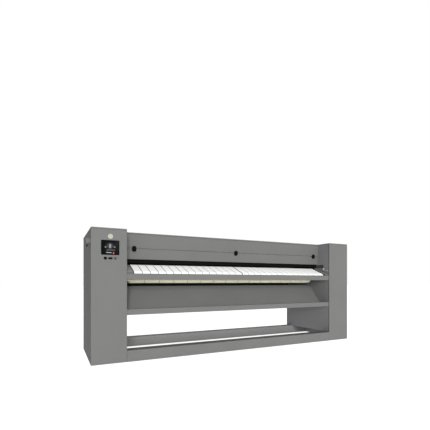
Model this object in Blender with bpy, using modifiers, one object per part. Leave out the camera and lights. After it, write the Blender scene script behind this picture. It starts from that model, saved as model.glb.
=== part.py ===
"""Flatwork ironer with a heated cylinder, belt feed and front return.

Metres, +Z up, the front faces -Y. Places are measured from the machine's middle in x,
from the front of the columns in y, and from the floor in z.
"""

from math import asin, atan2, ceil, cos, hypot, pi, radians, sin, tan

import bmesh
import bpy
from mathutils import Matrix, Vector

# Overall size
WIDTH = 3.18
DEPTH = 0.85
HEIGHT = 1.25
COLUMN_WIDTH = 0.318

# Sheet metal and clearances
CLEAR = 0.0003
RUNNING = 0.0005
SHEET = 0.002
FLANGE = 0.020
SIDE_FLANGE = 0.015
PLATE = 0.006
CORNER = 0.004
OVERRUN = 0.010

# Column covers
CAP_HEIGHT = 0.012
SKIRT = 0.004

# Base
BEAM_HEIGHT = 0.111
BEAM_BACK = 0.114
REAR_BEAM_FRONT = DEPTH - BEAM_BACK
BEAM_WALL = 0.003
RAIL_WIDTH = 0.040
RAIL_HEIGHT = 0.050
FOOT_RADIUS = 0.028
FOOT_STEM_RADIUS = 0.008
FOOT_STEM = 0.045
FOOT_NUT_RADIUS = 0.014
FOOT_NUT = 0.010
FOOT_INSET = 0.060

# Hood
HOOD_FROM_REAR = 0.650
HOOD_FRONT = DEPTH - HOOD_FROM_REAR
HOOD_DROP = 0.267
HOOD_BOTTOM = HEIGHT - HOOD_DROP
HOOD_SEAM_DROP = 0.157
HOOD_SEAM = HEIGHT - HOOD_SEAM_DROP
SEAM_GAP = 0.0015
LOWER_PANEL_SET_BACK = 0.005
HATCH_DEPTH = 0.015
HATCH_END_GAP = 0.001
HATCH_HINGE_RADIUS = 0.006
HINGE_REACH = 0.005

# Latches on the hatch
LATCH_SPREAD = 1.175
LATCH_SHIFT = 0.011
LATCH_WIDTH = 0.042
LATCH_LENGTH = 0.054
LATCH_CORNER = 0.016
LATCH_DROP = 0.018
LATCH_THICK = 0.011
LATCH_RISE = 0.0115
LATCH_SHAFT_RADIUS = 0.006
LATCH_CAM_LENGTH = 0.0075
LATCH_CAM_WIDTH = 0.010
LATCH_CAM_THICK = 0.003

# Rear panel
REAR_PANEL_DROP = 0.800
REAR_PANEL_BOTTOM = HEIGHT - REAR_PANEL_DROP

# Heated cylinder
CYLINDER_FROM_REAR = 0.370
CYLINDER_Y = DEPTH - CYLINDER_FROM_REAR
CYLINDER_DROP = 0.288
CYLINDER_Z = HEIGHT - CYLINDER_DROP
CYLINDER_RADIUS = 0.200
CYLINDER_WALL = 0.008
CYLINDER_DISC = 0.010
CYLINDER_HALF = 1.235
JOURNAL_RADIUS = 0.035
BEARING_LENGTH = 0.070
BEARING_SIZE = 0.120
BEARING_END_WALL = 0.012

# Heater bank inside the cylinder
HEATER_TUBE_RADIUS = 0.020
HEATER_ROD_RADIUS = 0.008
HEATER_RING_RADIUS = 0.140
HEATER_RODS = 6
HEATER_DISCS = 2
HEATER_DISC_RADIUS = 0.160
HEATER_DISC_THICK = 0.006
HEATER_ROD_HALF = 1.150
HEATER_TAIL = 0.015

# Ironing belts and their guide rollers
GUIDE_RADIUS = 0.030
IRONING_BELT = 0.003
BELT_CLEAR = 0.0006
NIP_ANGLE = radians(25)
NIP_RELIEF = 0.003
LOWER_ROLLER_AHEAD = 0.177
LOWER_ROLLER_Y = CYLINDER_Y - LOWER_ROLLER_AHEAD
LOWER_ROLLER_DROP = 0.187
LOWER_ROLLER_Z = CYLINDER_Z - LOWER_ROLLER_DROP
UPPER_ROLLER_AHEAD = 0.125
UPPER_ROLLER_Y = CYLINDER_Y - UPPER_ROLLER_AHEAD
UPPER_ROLLER_RISE = 0.208
UPPER_ROLLER_Z = CYLINDER_Z + UPPER_ROLLER_RISE
REAR_ROLLER_BEHIND = 0.210
REAR_ROLLER_Y = CYLINDER_Y + REAR_ROLLER_BEHIND
BELT_FIELD_HALF = 1.200
IRONING_BELTS = 15
IRONING_GAP = 0.008
IRONING_WEB = 0.0008
ROLLER_HALF = 1.215
ROLLER_WALL = 0.004
SHAFT_RADIUS = 0.010
SHAFT_BORE = 0.005
SHAFT_REACH = 0.018

# Feed table
NOSE_Y = 0.066
NOSE_DROP = 0.139
NOSE_Z = CYLINDER_Z - NOSE_DROP
NOSE_RADIUS = 0.035
FEED_ROLLER_AHEAD = 0.2337
FEED_ROLLER_Y = CYLINDER_Y - FEED_ROLLER_AHEAD
FEED_ROLLER_DROP = 0.0631
FEED_ROLLER_Z = CYLINDER_Z - FEED_ROLLER_DROP
FEED_ROLLER_RADIUS = 0.027
FEED_BELT = 0.0024
FEED_BELTS = 30
FEED_GAP = 0.006
FEED_WEB = 0.0006
DECK_GAPS = {-1: 0.006, 1: 0.022}
DECK_LIP = 0.018
APRON_FRONT = 0.0125
APRON_RISE = 0.0115
APRON_TOP = NOSE_Z + APRON_RISE
APRON_DROP = 0.0475
APRON_BOTTOM = NOSE_Z - APRON_DROP
APRON_HEM = 0.006
APRON_FOOT = 0.060

# Finger guard
GUARD_AHEAD = 0.2465
GUARD_Y = CYLINDER_Y - GUARD_AHEAD
GUARD_RISE = 0.028
GUARD_Z = CYLINDER_Z + GUARD_RISE
GUARD_DROP = 0.016
GUARD_BOTTOM = CYLINDER_Z - GUARD_DROP
GUARD_THICK = 0.004
GUARD_ROD_RADIUS = 0.005
GUARD_END_GAP = 0.002

# Stripper bar over the lower roller
STRIPPER_AHEAD = 0.190
STRIPPER_Y = CYLINDER_Y - STRIPPER_AHEAD
STRIPPER_DROP = 0.102
STRIPPER_TOP = CYLINDER_Z - STRIPPER_DROP
STRIPPER_BEND_DROP = 0.132
STRIPPER_BEND = CYLINDER_Z - STRIPPER_BEND_DROP
STRIPPER_TIP_AHEAD = 0.142
STRIPPER_TIP_Y = CYLINDER_Y - STRIPPER_TIP_AHEAD
STRIPPER_TIP_DROP = 0.143
STRIPPER_TIP_Z = CYLINDER_Z - STRIPPER_TIP_DROP

# Return tray
TRAY_LIP_FRONT = 0.014
TRAY_LIP_TOP = 0.4945
TRAY_LIP_HEM = 0.020
TRAY_FLOOR = 0.443
TRAY_TOP_AHEAD = 0.120
TRAY_SLOPE_TOP_Y = CYLINDER_Y - TRAY_TOP_AHEAD
TRAY_TOP_DROP = 0.252
TRAY_SLOPE_TOP_Z = CYLINDER_Z - TRAY_TOP_DROP
TRAY_FLOOR_SHARE = 0.3456
TRAY_TOP_HEM = 0.012
BEND_RADIUS = 0.008

# Lint pan
LINT_PAN_AHEAD = 0.095
LINT_PAN_FRONT = CYLINDER_Y - LINT_PAN_AHEAD
LINT_PAN_BEHIND = 0.335
LINT_PAN_REAR = CYLINDER_Y + LINT_PAN_BEHIND
LINT_PAN_DROP = 0.402
LINT_PAN_FLOOR = CYLINDER_Z - LINT_PAN_DROP
LINT_PAN_DEEP = 0.140
LINT_PAN_TOP = LINT_PAN_FLOOR + LINT_PAN_DEEP
LINT_PAN_REAR_DEEP = 0.060
LINT_PAN_REAR_TOP = LINT_PAN_FLOOR + LINT_PAN_REAR_DEEP

# Drive in the right column
CHAIN_PITCH = 0.0254
CHAIN_TEETH = 30
MOTOR_TEETH = 10
TOOTH_HEIGHT = 0.008
TOOTH_FLANK_SHARE = 0.30
SPROCKET_THICK = 0.010
SPROCKET_GAP = 0.008
CHAIN_THICK = 0.008
CHAIN_WIDTH = 0.008
MOTOR_DROP_SHARE = 0.49065
GEARBOX_SIZE = 0.140
GEARBOX_LENGTH = 0.065
MOTOR_RADIUS = 0.055
MOTOR_LENGTH = 0.210
MOTOR_SHAFT_RADIUS = 0.012
MOTOR_SHAFT_DEPTH = 0.035
MOTOR_HUB_RADIUS = 0.022

# Exhaust fan in the left column
FAN_BEHIND = 0.220
FAN_Y = CYLINDER_Y + FAN_BEHIND
FAN_DROP = 0.322
FAN_Z = CYLINDER_Z - FAN_DROP
FAN_RADIUS = 0.110
FAN_WIDTH = 0.120
FAN_WALL = 0.003
FAN_INLET_RADIUS = 0.055
FAN_DUCT_RADIUS = 0.045
FAN_DUCT_DROP = 0.055
FAN_MOTOR_RADIUS = 0.045
FAN_MOTOR_LENGTH = 0.060
IMPELLER_RADIUS = 0.095
IMPELLER_BLADES = 8
IMPELLER_BLADE_WIDTH = 0.070
IMPELLER_PLATE = 0.003
IMPELLER_HUB_RADIUS = 0.025
IMPELLER_SHAFT_RADIUS = 0.008
IMPELLER_SHAFT_REACH = 0.030

# Electrical cabinet on the left side panel
CABINET_DEPTH = 0.095
CABINET_FRONT = 0.150
CABINET_FROM_REAR = 0.300
CABINET_BACK = DEPTH - CABINET_FROM_REAR
CABINET_DROP = 0.090
CABINET_TOP = HEIGHT - CABINET_DROP
CABINET_HEIGHT = 0.710
CABINET_BOTTOM = CABINET_TOP - CABINET_HEIGHT

# Controls on the left column
SCREEN_X = -1.4235
SCREEN_DROP = 0.181
SCREEN_Z = HEIGHT - SCREEN_DROP
SCREEN_WIDTH = 0.161
SCREEN_HEIGHT = 0.134
SCREEN_BORDER = 0.006
SCREEN_PROUD = 0.0025
SCREEN_BODY_DEPTH = 0.040
CONTROL_DROP = 0.098
CONTROL_Z = SCREEN_Z - CONTROL_DROP
BUTTON_X = -1.467
BUTTON_RADIUS = 0.012
BUTTON_PROUD = 0.009
BUTTON_CAP = 0.0045
BUTTON_TRAVEL = 0.004
BUTTON_STEM_RADIUS = 0.008
BUTTON_STEM = 0.025
PORT_X = -1.423
PORT_WIDTH = 0.038
PORT_HEIGHT = 0.018
PORT_THICK = 0.0035
PORT_HOLE_WIDTH = 0.026
PORT_HOLE_HEIGHT = 0.008
KEY_X = -1.379
KEY_RADIUS = 0.012
KEY_PROUD = 0.010
KEY_RING = 0.004
KEY_SLOT_WIDTH = 0.003
KEY_SLOT_LENGTH = 0.012
KEY_SLOT_DEPTH = 0.004

# Main switch on the left side panel, and the hollow housing drawn out of the panel before it
SWITCH_Y = 0.350
SWITCH_DROP = 0.1355
SWITCH_Z = HEIGHT - SWITCH_DROP
SWITCH_RADIUS = 0.012
SWITCH_BASE = 0.003
SWITCH_PROUD = 0.010
SWITCH_BAR_WIDTH = 0.007
SWITCH_SHAFT_RADIUS = 0.006
SWITCH_SHAFT = 0.030
HOUSING_FRONT = 0.030
HOUSING_LENGTH = 0.060
HOUSING_PROUD = 0.040
HOUSING_DROP = 0.101
HOUSING_TOP = HEIGHT - HOUSING_DROP
HOUSING_HEIGHT = 0.045

# Mains cable gland on the left rear panel
GLAND_FROM_SIDE = 0.160
GLAND_Z = 0.200
GLAND_RADIUS = 0.014
GLAND_BORE = 0.007
GLAND_NECK = 0.010
GLAND_PROUD = 0.018
GLAND_INSIDE = 0.008

# Places that follow from the sizes above
HALF = WIDTH / 2
INNER = HALF - COLUMN_WIDTH
PLATE_OUT = INNER + PLATE
CAP_BOTTOM = HEIGHT - CAP_HEIGHT
SPAN = INNER - CLEAR
FRAME_END = HALF - SIDE_FLANGE - CLEAR
PANEL_TOP = CAP_BOTTOM - CLEAR
REAR_INSIDE = DEPTH - FLANGE
HATCH_HINGE_Y = HOOD_FRONT + HATCH_HINGE_RADIUS
HATCH_HINGE_Z = CAP_BOTTOM - HATCH_HINGE_RADIUS - SEAM_GAP / 2
HATCH_BOTTOM = HOOD_SEAM + SEAM_GAP / 2
LATCH_Z = HATCH_BOTTOM + LATCH_RISE
NIP_REACH = CYLINDER_RADIUS + IRONING_BELT + GUIDE_RADIUS + NIP_RELIEF
NIP_Y = CYLINDER_Y - NIP_REACH * cos(NIP_ANGLE)
NIP_Z = CYLINDER_Z + NIP_REACH * sin(NIP_ANGLE)
SPROCKET_X = PLATE_OUT + BEARING_LENGTH + SPROCKET_GAP
MOTOR_Z = CYLINDER_Z * (1 - MOTOR_DROP_SHARE)
GEARBOX_END = PLATE_OUT + CLEAR + GEARBOX_LENGTH
FAN_INSIDE = PLATE_OUT + CLEAR
FAN_OUTSIDE = FAN_INSIDE + FAN_WIDTH
GUIDE_ROLLERS = {
    "nip_roller": (NIP_Y, NIP_Z),
    "upper_front_roller": (UPPER_ROLLER_Y, UPPER_ROLLER_Z),
    "upper_rear_roller": (REAR_ROLLER_Y, UPPER_ROLLER_Z),
    "lower_rear_roller": (REAR_ROLLER_Y, LOWER_ROLLER_Z),
    "lower_front_roller": (LOWER_ROLLER_Y, LOWER_ROLLER_Z),
}

# Finishes: colour, roughness, metallic
FINISHES = {
    "grey_paint": ((0.112, 0.112, 0.110), 0.45, 0.0),
    "steel": ((0.55, 0.55, 0.54), 0.35, 1.0),
    "polished_steel": ((0.70, 0.70, 0.69), 0.18, 1.0),
    "dark_steel": ((0.10, 0.10, 0.10), 0.45, 0.8),
    "white_belt": ((0.90, 0.90, 0.89), 0.85, 0.0),
    "cream_belt": ((0.70, 0.66, 0.48), 0.90, 0.0),
    "black_plastic": ((0.012, 0.012, 0.012), 0.40, 0.0),
    "black_glass": ((0.008, 0.008, 0.009), 0.08, 0.0),
    "black_rubber": ((0.02, 0.02, 0.02), 0.75, 0.0),
    "motor_blue": ((0.06, 0.09, 0.13), 0.50, 0.2),
    "galvanised": ((0.45, 0.46, 0.46), 0.50, 0.9),
}

# Sides of round shapes, the join distance, the angle of a sharp edge, and belt corners
ROUND = 20
ROUND_SMALL = 12
ROUND_LARGE = 28
ROUND_ROLLER = 16
ROUND_CYLINDER = 40
MERGE = 0.00001
SHARP = radians(40)
BELT_STEP = radians(36)
CHAIN_STEP = radians(18)


def clear_scene():
    for thing in list(bpy.data.objects):
        bpy.data.objects.remove(thing, do_unlink=True)


def new_collection(name):
    made = bpy.data.collections.new(name)
    bpy.context.scene.collection.children.link(made)
    return made


clear_scene()
PARTS = new_collection("flatwork_ironer")
CUTTERS = new_collection("cutters")

# The origin is the bottom centre of the whole object's box
ORIGIN_X = max(HOUSING_PROUD, SWITCH_PROUD) / 2
ORIGIN_Y = -(DEPTH + GLAND_PROUD - KEY_PROUD) / 2
FRAME = bpy.data.objects.new("ironer_frame", None)
FRAME.location = (ORIGIN_X, ORIGIN_Y, 0)
PARTS.objects.link(FRAME)


def finish_material(name, finish):
    colour, roughness, metallic = FINISHES[finish]
    made = bpy.data.materials.new(name + "_" + finish)
    made.use_nodes = True
    shader = made.node_tree.nodes["Principled BSDF"]
    shader.inputs["Base Color"].default_value = (*colour, 1)
    shader.inputs["Roughness"].default_value = roughness
    shader.inputs["Metallic"].default_value = metallic
    made.diffuse_color = (*colour, 1)
    return made


def mesh_of(bm, name):
    mesh = bpy.data.meshes.new(name)
    bm.to_mesh(mesh)
    bm.free()
    return mesh


def place(name, mesh, finish, location, rotation=(0, 0, 0)):
    """A sub-part, at its place in the machine."""
    made = bpy.data.objects.new(name, mesh)
    PARTS.objects.link(made)
    made.parent = FRAME
    made.location = location
    made.rotation_euler = rotation
    mesh.materials.append(finish_material(name, finish))
    return made


def helper(name, mesh, location=(0, 0, 0), rotation=(0, 0, 0)):
    """A shape that only cuts or joins a sub-part."""
    made = bpy.data.objects.new(name, mesh)
    CUTTERS.objects.link(made)
    made.parent = FRAME
    made.location = location
    made.rotation_euler = rotation
    made.hide_render = True
    made.display_type = "WIRE"
    return made


def middle(low, high):
    return (Vector(low) + Vector(high)) / 2


def block_mesh(name, size, centre=(0, 0, 0)):
    bm = bmesh.new()
    bmesh.ops.create_cube(bm, size=1, matrix=Matrix.Translation(centre) @ Matrix.Diagonal((*size, 1)))
    return mesh_of(bm, name)


def rounded_plate(name, size, centre, corner):
    """An upright plate facing the front, with its four corners rounded."""
    bm = bmesh.new()
    bmesh.ops.create_cube(bm, size=1, matrix=Matrix.Translation(centre) @ Matrix.Diagonal((*size, 1)))
    along_y = [e for e in bm.edges if abs((e.verts[0].co - e.verts[1].co).normalized().y) > 1 / 2]
    bmesh.ops.bevel(bm, geom=along_y, offset=corner, segments=4, affect="EDGES", profile=1 / 2)
    return mesh_of(bm, name)


def block(name, low, high, finish, bevel=0):
    size = Vector(high) - Vector(low)
    made = place(name, block_mesh(name, size), finish, middle(low, high))
    if bevel:
        round_edges(made, bevel)
    return made


def round_edges(made, width, segments=1):
    bevel = made.modifiers.new("rounded_edges", "BEVEL")
    bevel.width = width
    bevel.segments = segments
    bevel.limit_method = "ANGLE"
    bevel.angle_limit = SHARP
    return bevel


def thicken(made, wall, offset=-1):
    solid = made.modifiers.new("wall", "SOLIDIFY")
    solid.thickness = wall
    solid.offset = offset
    solid.use_even_offset = True
    return solid


def shell(name, low, high, open_sides, finish, wall=SHEET, corner=0):
    """A sheet-metal box without the faces that look along open_sides."""
    size = Vector(high) - Vector(low)
    bm = bmesh.new()
    bmesh.ops.create_cube(bm, size=1, matrix=Matrix.Diagonal((*size, 1)))
    gone = [f for f in bm.faces if any(f.normal.dot(Vector(way)) > 1 / 2 for way in open_sides)]
    bmesh.ops.delete(bm, geom=gone, context="FACES")
    made = place(name, mesh_of(bm, name), finish, middle(low, high))
    if corner:
        round_edges(made, corner, 2)
    thicken(made, wall)
    return made


def side_box(side, out_a, out_b, y_low, y_high, z_low, z_high):
    """Corners of a box given by two distances from a column's outer face."""
    ends = sorted((side * (HALF - out_a), side * (HALF - out_b)))
    return (ends[0], y_low, z_low), (ends[1], y_high, z_high)


def boolean(made, other, operation):
    change = made.modifiers.new(other.name, "BOOLEAN")
    change.object = other
    change.operation = operation
    change.solver = "EXACT"
    return change


def cut(made, other):
    return boolean(made, other, "DIFFERENCE")


def join(made, other):
    return boolean(made, other, "UNION")


def turn_to(axis):
    """The rotation that lays a piece made along Z along another axis."""
    return {"X": (0, pi / 2, 0), "Y": (-pi / 2, 0, 0), "Z": (0, 0, 0)}[axis]


def smooth(mesh):
    mesh.shade_smooth()
    mesh.set_sharp_from_angle(angle=SHARP)
    return mesh


def rods_mesh(name, rods, axis, around=ROUND_SMALL):
    """Round bars along one axis: each is (centre, radius, length)."""
    bm = bmesh.new()
    turned_by = Matrix.Rotation(pi / 2, 4, "Y") if axis == "X" else Matrix.Rotation(-pi / 2, 4, "X")
    if axis == "Z":
        turned_by = Matrix.Identity(4)
    for centre, radius, length in rods:
        bmesh.ops.create_cone(
            bm, cap_ends=True, segments=around, radius1=radius, radius2=radius, depth=length,
            matrix=Matrix.Translation(centre) @ turned_by,
        )
    return smooth(mesh_of(bm, name))


def drill(made, rods, axis, around=ROUND_SMALL, name="holes"):
    """Round holes along one axis, whose flats stand at the given radius."""
    name = made.name + "_" + name
    wide = [(centre, radius / cos(pi / around), length) for centre, radius, length in rods]
    return cut(made, helper(name, rods_mesh(name, wide, axis, around)))


def turned(name, profile, finish, location, axis="X", around=ROUND, closed=False):
    """A turned piece: profile points are (radius, place along the axis), top to bottom."""
    mesh = bpy.data.meshes.new(name)
    points = [(radius, 0, along) for radius, along in profile]
    edges = [(i, i + 1) for i in range(len(points) - 1)]
    if closed:
        edges.append((len(points) - 1, 0))
    mesh.from_pydata(points, edges, [])
    return place(name, spun_mesh(mesh, around), finish, location, turn_to(axis))


def spun_mesh(profile, around):
    """The profile turned once round its Z axis, smooth but for its sharp edges."""
    lathe = helper("lathe", profile)
    spin = lathe.modifiers.new("turning", "SCREW")
    spin.axis = "Z"
    spin.steps = around
    spin.render_steps = around
    spin.use_merge_vertices = True
    spin.merge_threshold = MERGE
    evaluated = lathe.evaluated_get(bpy.context.evaluated_depsgraph_get())
    mesh = bpy.data.meshes.new_from_object(evaluated)
    mesh.name = profile.name
    bpy.data.objects.remove(lathe, do_unlink=True)
    return smooth(mesh)


def left_of(angle):
    return Vector((-sin(angle), cos(angle)))


def belt_route(wheels, step):
    """Closed route round wheels (y, z, radius), where a wheel outside the loop has a minus radius.

    The loop runs anticlockwise with y to the right and z up. Its flats touch the wheels,
    so every corner stands a little off them.
    """
    count = len(wheels)
    headings = []
    for i, (y, z, radius) in enumerate(wheels):
        next_y, next_z, next_radius = wheels[(i + 1) % count]
        distance = hypot(next_y - y, next_z - z)
        bearing = atan2(next_z - z, next_y - y)
        headings.append(bearing - asin((next_radius - radius) / distance))
    route = []
    for i, (y, z, radius) in enumerate(wheels):
        start = headings[i - 1]
        sweep = (headings[i] - start) % (2 * pi)
        if radius < 0:
            sweep -= 2 * pi
        steps = ceil(abs(sweep) / (step if radius > 0 else step / 2))
        half_step = sweep / steps / 2
        for k in range(steps):
            spoke = left_of(start + (2 * k + 1) * half_step)
            point = Vector((y, z)) - spoke * (radius / cos(half_step))
            route.append((point.x, point.y))
    return route


def rounded_route(corners, radius, steps=3):
    """An open route through corners (y, z), with each inner corner rounded."""
    route = [corners[0]]
    for before, corner, after in zip(corners, corners[1:], corners[2:]):
        here = Vector(corner)
        back = (Vector(before) - here).normalized()
        ahead = (Vector(after) - here).normalized()
        half = back.angle(ahead) / 2
        reach = radius / tan(half)
        centre = here + (back + ahead).normalized() * (radius / sin(half))
        start = here + back * reach - centre
        end = here + ahead * reach - centre
        turn = start.angle_signed(end)
        for k in range(steps + 1):
            spoke = start.copy()
            spoke.rotate(Matrix.Rotation(-turn * k / steps, 2))
            route.append(tuple(centre + spoke))
    route.append(corners[-1])
    return route


def ribbon_mesh(name, route, stations, closed):
    """A strip along a route in y and z, drawn out along x through the stations."""
    bm = bmesh.new()
    line = [bm.verts.new((stations[0], y, z)) for y, z in route]
    pairs = list(zip(line, line[1:]))
    if closed:
        pairs.append((line[-1], line[0]))
    edges = [bm.edges.new(pair) for pair in pairs]
    for here, ahead in zip(stations, stations[1:]):
        drawn = bmesh.ops.extrude_edge_only(bm, edges=edges)["geom"]
        moved = [v for v in drawn if isinstance(v, bmesh.types.BMVert)]
        bmesh.ops.translate(bm, verts=moved, vec=(ahead - here, 0, 0))
        edges = [
            e for e in drawn
            if isinstance(e, bmesh.types.BMEdge) and all(v in moved for v in e.verts)
        ]
    bmesh.ops.recalc_face_normals(bm, faces=bm.faces)
    first = min(bm.faces, key=lambda f: (f.calc_center_median() - Vector((stations[0], *route[0]))).length)
    heading = Vector(route[1]) - Vector(route[0])
    if first.normal.dot(Vector((0, heading.y, -heading.x))) < 0:
        bmesh.ops.reverse_faces(bm, faces=bm.faces)
    return mesh_of(bm, name)


def bent_sheet(name, route, half, finish, wall=SHEET):
    """A sheet bent along a route, reaching the same way to both sides of the middle."""
    made = place(name, ribbon_mesh(name, route, (-half, half), False), finish, (0, 0, 0))
    thicken(made, wall, 0)
    return made


def belt_stations(start, count, pitch, gap):
    """Stations along x with the full-thickness ones marked, for belts side by side."""
    stations = []
    full = []
    for i in range(count):
        left = start + i * pitch + gap / 2
        right = start + (i + 1) * pitch - gap / 2
        stations += [left, right]
        full += [True, True]
        if i < count - 1:
            stations.append(right + gap / 2)
            full.append(False)
    return stations, full


def belt_set(name, route, start, count, pitch, gap, thick, web, finish):
    """Belts side by side, joined by a thin web at their inner face."""
    stations, full = belt_stations(start, count, pitch, gap)
    made = place(name, ribbon_mesh(name, route, stations, True), finish, (0, 0, 0))
    solid = thicken(made, thick, 1)
    group = made.vertex_groups.new(name="belt")
    high = {round(s, 5) for s, is_full in zip(stations, full) if is_full}
    chosen = [v.index for v in made.data.vertices if round(v.co.x, 5) in high]
    group.add(chosen, 1, "REPLACE")
    solid.vertex_group = group.name
    solid.thickness_vertex_group = web / thick
    return made


def sprocket_mesh(name, teeth, thick):
    """A chain wheel without its bore: a toothed disc along Z."""
    pitch_radius = CHAIN_PITCH * teeth / (2 * pi)
    root = pitch_radius - TOOTH_HEIGHT / 2
    tip = pitch_radius + TOOTH_HEIGHT / 2
    bm = bmesh.new()
    tooth = ((-TOOTH_FLANK_SHARE, root), (0, tip), (TOOTH_FLANK_SHARE, root))
    points = []
    for i in range(teeth):
        for share, radius in tooth:
            angle = 2 * pi * (i + share) / teeth
            points.append(bm.verts.new((radius * cos(angle), radius * sin(angle), -thick / 2)))
    face = bm.faces.new(points)
    lifted = bmesh.ops.extrude_face_region(bm, geom=[face])["geom"]
    top = [v for v in lifted if isinstance(v, bmesh.types.BMVert)]
    bmesh.ops.translate(bm, verts=top, vec=(0, 0, thick))
    bmesh.ops.recalc_face_normals(bm, faces=bm.faces)
    return mesh_of(bm, name)


# Base frame


def make_beam(name, y_low, y_high, foot_y):
    low = (-FRAME_END, y_low, SKIRT)
    high = (FRAME_END, y_high, BEAM_HEIGHT)
    made = shell(name, low, high, ((1, 0, 0), (-1, 0, 0)), "grey_paint", BEAM_WALL)
    holes = []
    for x in (FOOT_INSET - FRAME_END, FRAME_END - FOOT_INSET):
        holes.append(((x, foot_y, SKIRT), FOOT_STEM_RADIUS + RUNNING, 2 * OVERRUN))
    drill(made, holes, "Z")
    return made


def make_rail(name, side):
    y_low = BEAM_BACK + CLEAR
    y_high = REAR_BEAM_FRONT - CLEAR
    out = SIDE_FLANGE + CLEAR
    low, high = side_box(side, out, out + RAIL_WIDTH, y_low, y_high, SKIRT, SKIRT + RAIL_HEIGHT)
    return shell(name, low, high, ((0, 1, 0), (0, -1, 0)), "grey_paint", BEAM_WALL)


def make_foot(name, side, y):
    """A pad under the beam, with its stem and nut inside the beam."""
    pad = SKIRT - CLEAR
    nut = SKIRT + BEAM_WALL + CLEAR
    profile = [(0, FOOT_STEM), (FOOT_STEM_RADIUS, FOOT_STEM), (FOOT_STEM_RADIUS, nut + FOOT_NUT)]
    profile += [(FOOT_NUT_RADIUS, nut + FOOT_NUT), (FOOT_NUT_RADIUS, nut), (FOOT_STEM_RADIUS, nut)]
    profile += [(FOOT_STEM_RADIUS, pad), (FOOT_RADIUS, pad), (FOOT_RADIUS, 0), (0, 0)]
    x = side * (FRAME_END - FOOT_INSET)
    return turned(name, profile, "black_rubber", (x, y, 0), "Z", ROUND_SMALL)


def make_base():
    front_foot = (FLANGE + BEAM_BACK) / 2
    rear_foot = (REAR_BEAM_FRONT + REAR_INSIDE) / 2
    make_beam("base_front_beam", FLANGE + CLEAR, BEAM_BACK, front_foot)
    make_beam("base_rear_beam", REAR_BEAM_FRONT, REAR_INSIDE - CLEAR, rear_foot)
    low = (-SPAN, 0, SKIRT)
    high = (SPAN, FLANGE, BEAM_HEIGHT)
    shell("base_front_cover", low, high, ((0, 1, 0),), "grey_paint", SHEET, SHEET)
    for word, side in (("left", -1), ("right", 1)):
        make_rail("base_rail_" + word, side)
        make_foot("foot_front_" + word, side, front_foot)
        make_foot("foot_rear_" + word, side, rear_foot)


# Side columns


def shaft_holes():
    """Holes of both inner plates: (y, z, radius)."""
    holes = [(CYLINDER_Y, CYLINDER_Z, JOURNAL_RADIUS + RUNNING)]
    shaft = SHAFT_RADIUS + RUNNING
    holes += [(y, z, shaft) for y, z in GUIDE_ROLLERS.values()]
    holes += [(NOSE_Y, NOSE_Z, shaft), (FEED_ROLLER_Y, FEED_ROLLER_Z, shaft)]
    holes.append((GUARD_Y, GUARD_Z, GUARD_ROD_RADIUS + RUNNING))
    holes.append((HATCH_HINGE_Y, HATCH_HINGE_Z, HATCH_HINGE_RADIUS + RUNNING))
    return holes


def make_inner_plate(name, side, extra):
    y_low = FLANGE + CLEAR
    z_low = BEAM_HEIGHT + CLEAR
    y_high = REAR_INSIDE - CLEAR
    low, high = side_box(side, COLUMN_WIDTH - PLATE, COLUMN_WIDTH, y_low, y_high, z_low, PANEL_TOP)
    made = block(name, low, high, "grey_paint")
    x = side * (INNER + PLATE / 2)
    length = PLATE + 2 * OVERRUN
    for i, (y, z, radius) in enumerate(shaft_holes() + extra):
        around = ROUND_SMALL if radius < FOOT_RADIUS else ROUND_LARGE
        drill(made, [((x, y, z), radius, length)], "X", around, "hole_" + str(i))
    return made


def make_side_panel(name, side):
    y_low = FLANGE + CLEAR
    low, high = side_box(side, 0, SIDE_FLANGE, y_low, REAR_INSIDE - CLEAR, SKIRT, PANEL_TOP)
    return shell(name, low, high, ((-side, 0, 0),), "grey_paint")


def add_housing(panel):
    """The small hollow housing on the left side panel, open to the inside of the column."""
    def body(name, wall, inside):
        low = Vector((-HALF - HOUSING_PROUD + wall, HOUSING_FRONT + wall, HOUSING_TOP - HOUSING_HEIGHT + wall))
        high = Vector((-HALF + inside, HOUSING_FRONT + HOUSING_LENGTH - wall, HOUSING_TOP - wall))
        return helper(name, block_mesh(name, high - low), middle(low, high))
    join(panel, body("housing_outside", 0, SHEET / 2))
    cut(panel, body("housing_hollow", SHEET, SHEET + OVERRUN))


def make_column(word, side):
    low, high = side_box(side, 0, COLUMN_WIDTH, 0, FLANGE, SKIRT, PANEL_TOP)
    front = shell(word + "_front_panel", low, high, ((0, 1, 0),), "grey_paint", SHEET, CORNER)
    low, high = side_box(side, 0, COLUMN_WIDTH, REAR_INSIDE, DEPTH, SKIRT, PANEL_TOP)
    rear = shell(word + "_rear_panel", low, high, ((0, -1, 0),), "grey_paint")
    low, high = side_box(side, 0, COLUMN_WIDTH, 0, DEPTH, CAP_BOTTOM, HEIGHT)
    shell(word + "_top_cover", low, high, ((0, 0, -1),), "grey_paint", SHEET, CORNER)
    return front, make_side_panel(word + "_side_panel", side), rear


def cut_control_holes(front):
    reach = 2 * (FLANGE + OVERRUN)
    rods = [((BUTTON_X, 0, CONTROL_Z), BUTTON_STEM_RADIUS + RUNNING, reach)]
    rods.append(((KEY_X, 0, CONTROL_Z), BUTTON_STEM_RADIUS + RUNNING, reach))
    drill(front, rods, "Y")
    window = (SCREEN_WIDTH - 2 * SCREEN_BORDER, reach, SCREEN_HEIGHT - 2 * SCREEN_BORDER)
    cut(front, helper("screen_window", block_mesh("screen_window", window), (SCREEN_X, 0, SCREEN_Z)))
    port = (PORT_HOLE_WIDTH, reach, PORT_HOLE_HEIGHT)
    cut(front, helper("port_window", block_mesh("port_window", port), (PORT_X, 0, CONTROL_Z)))


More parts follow.
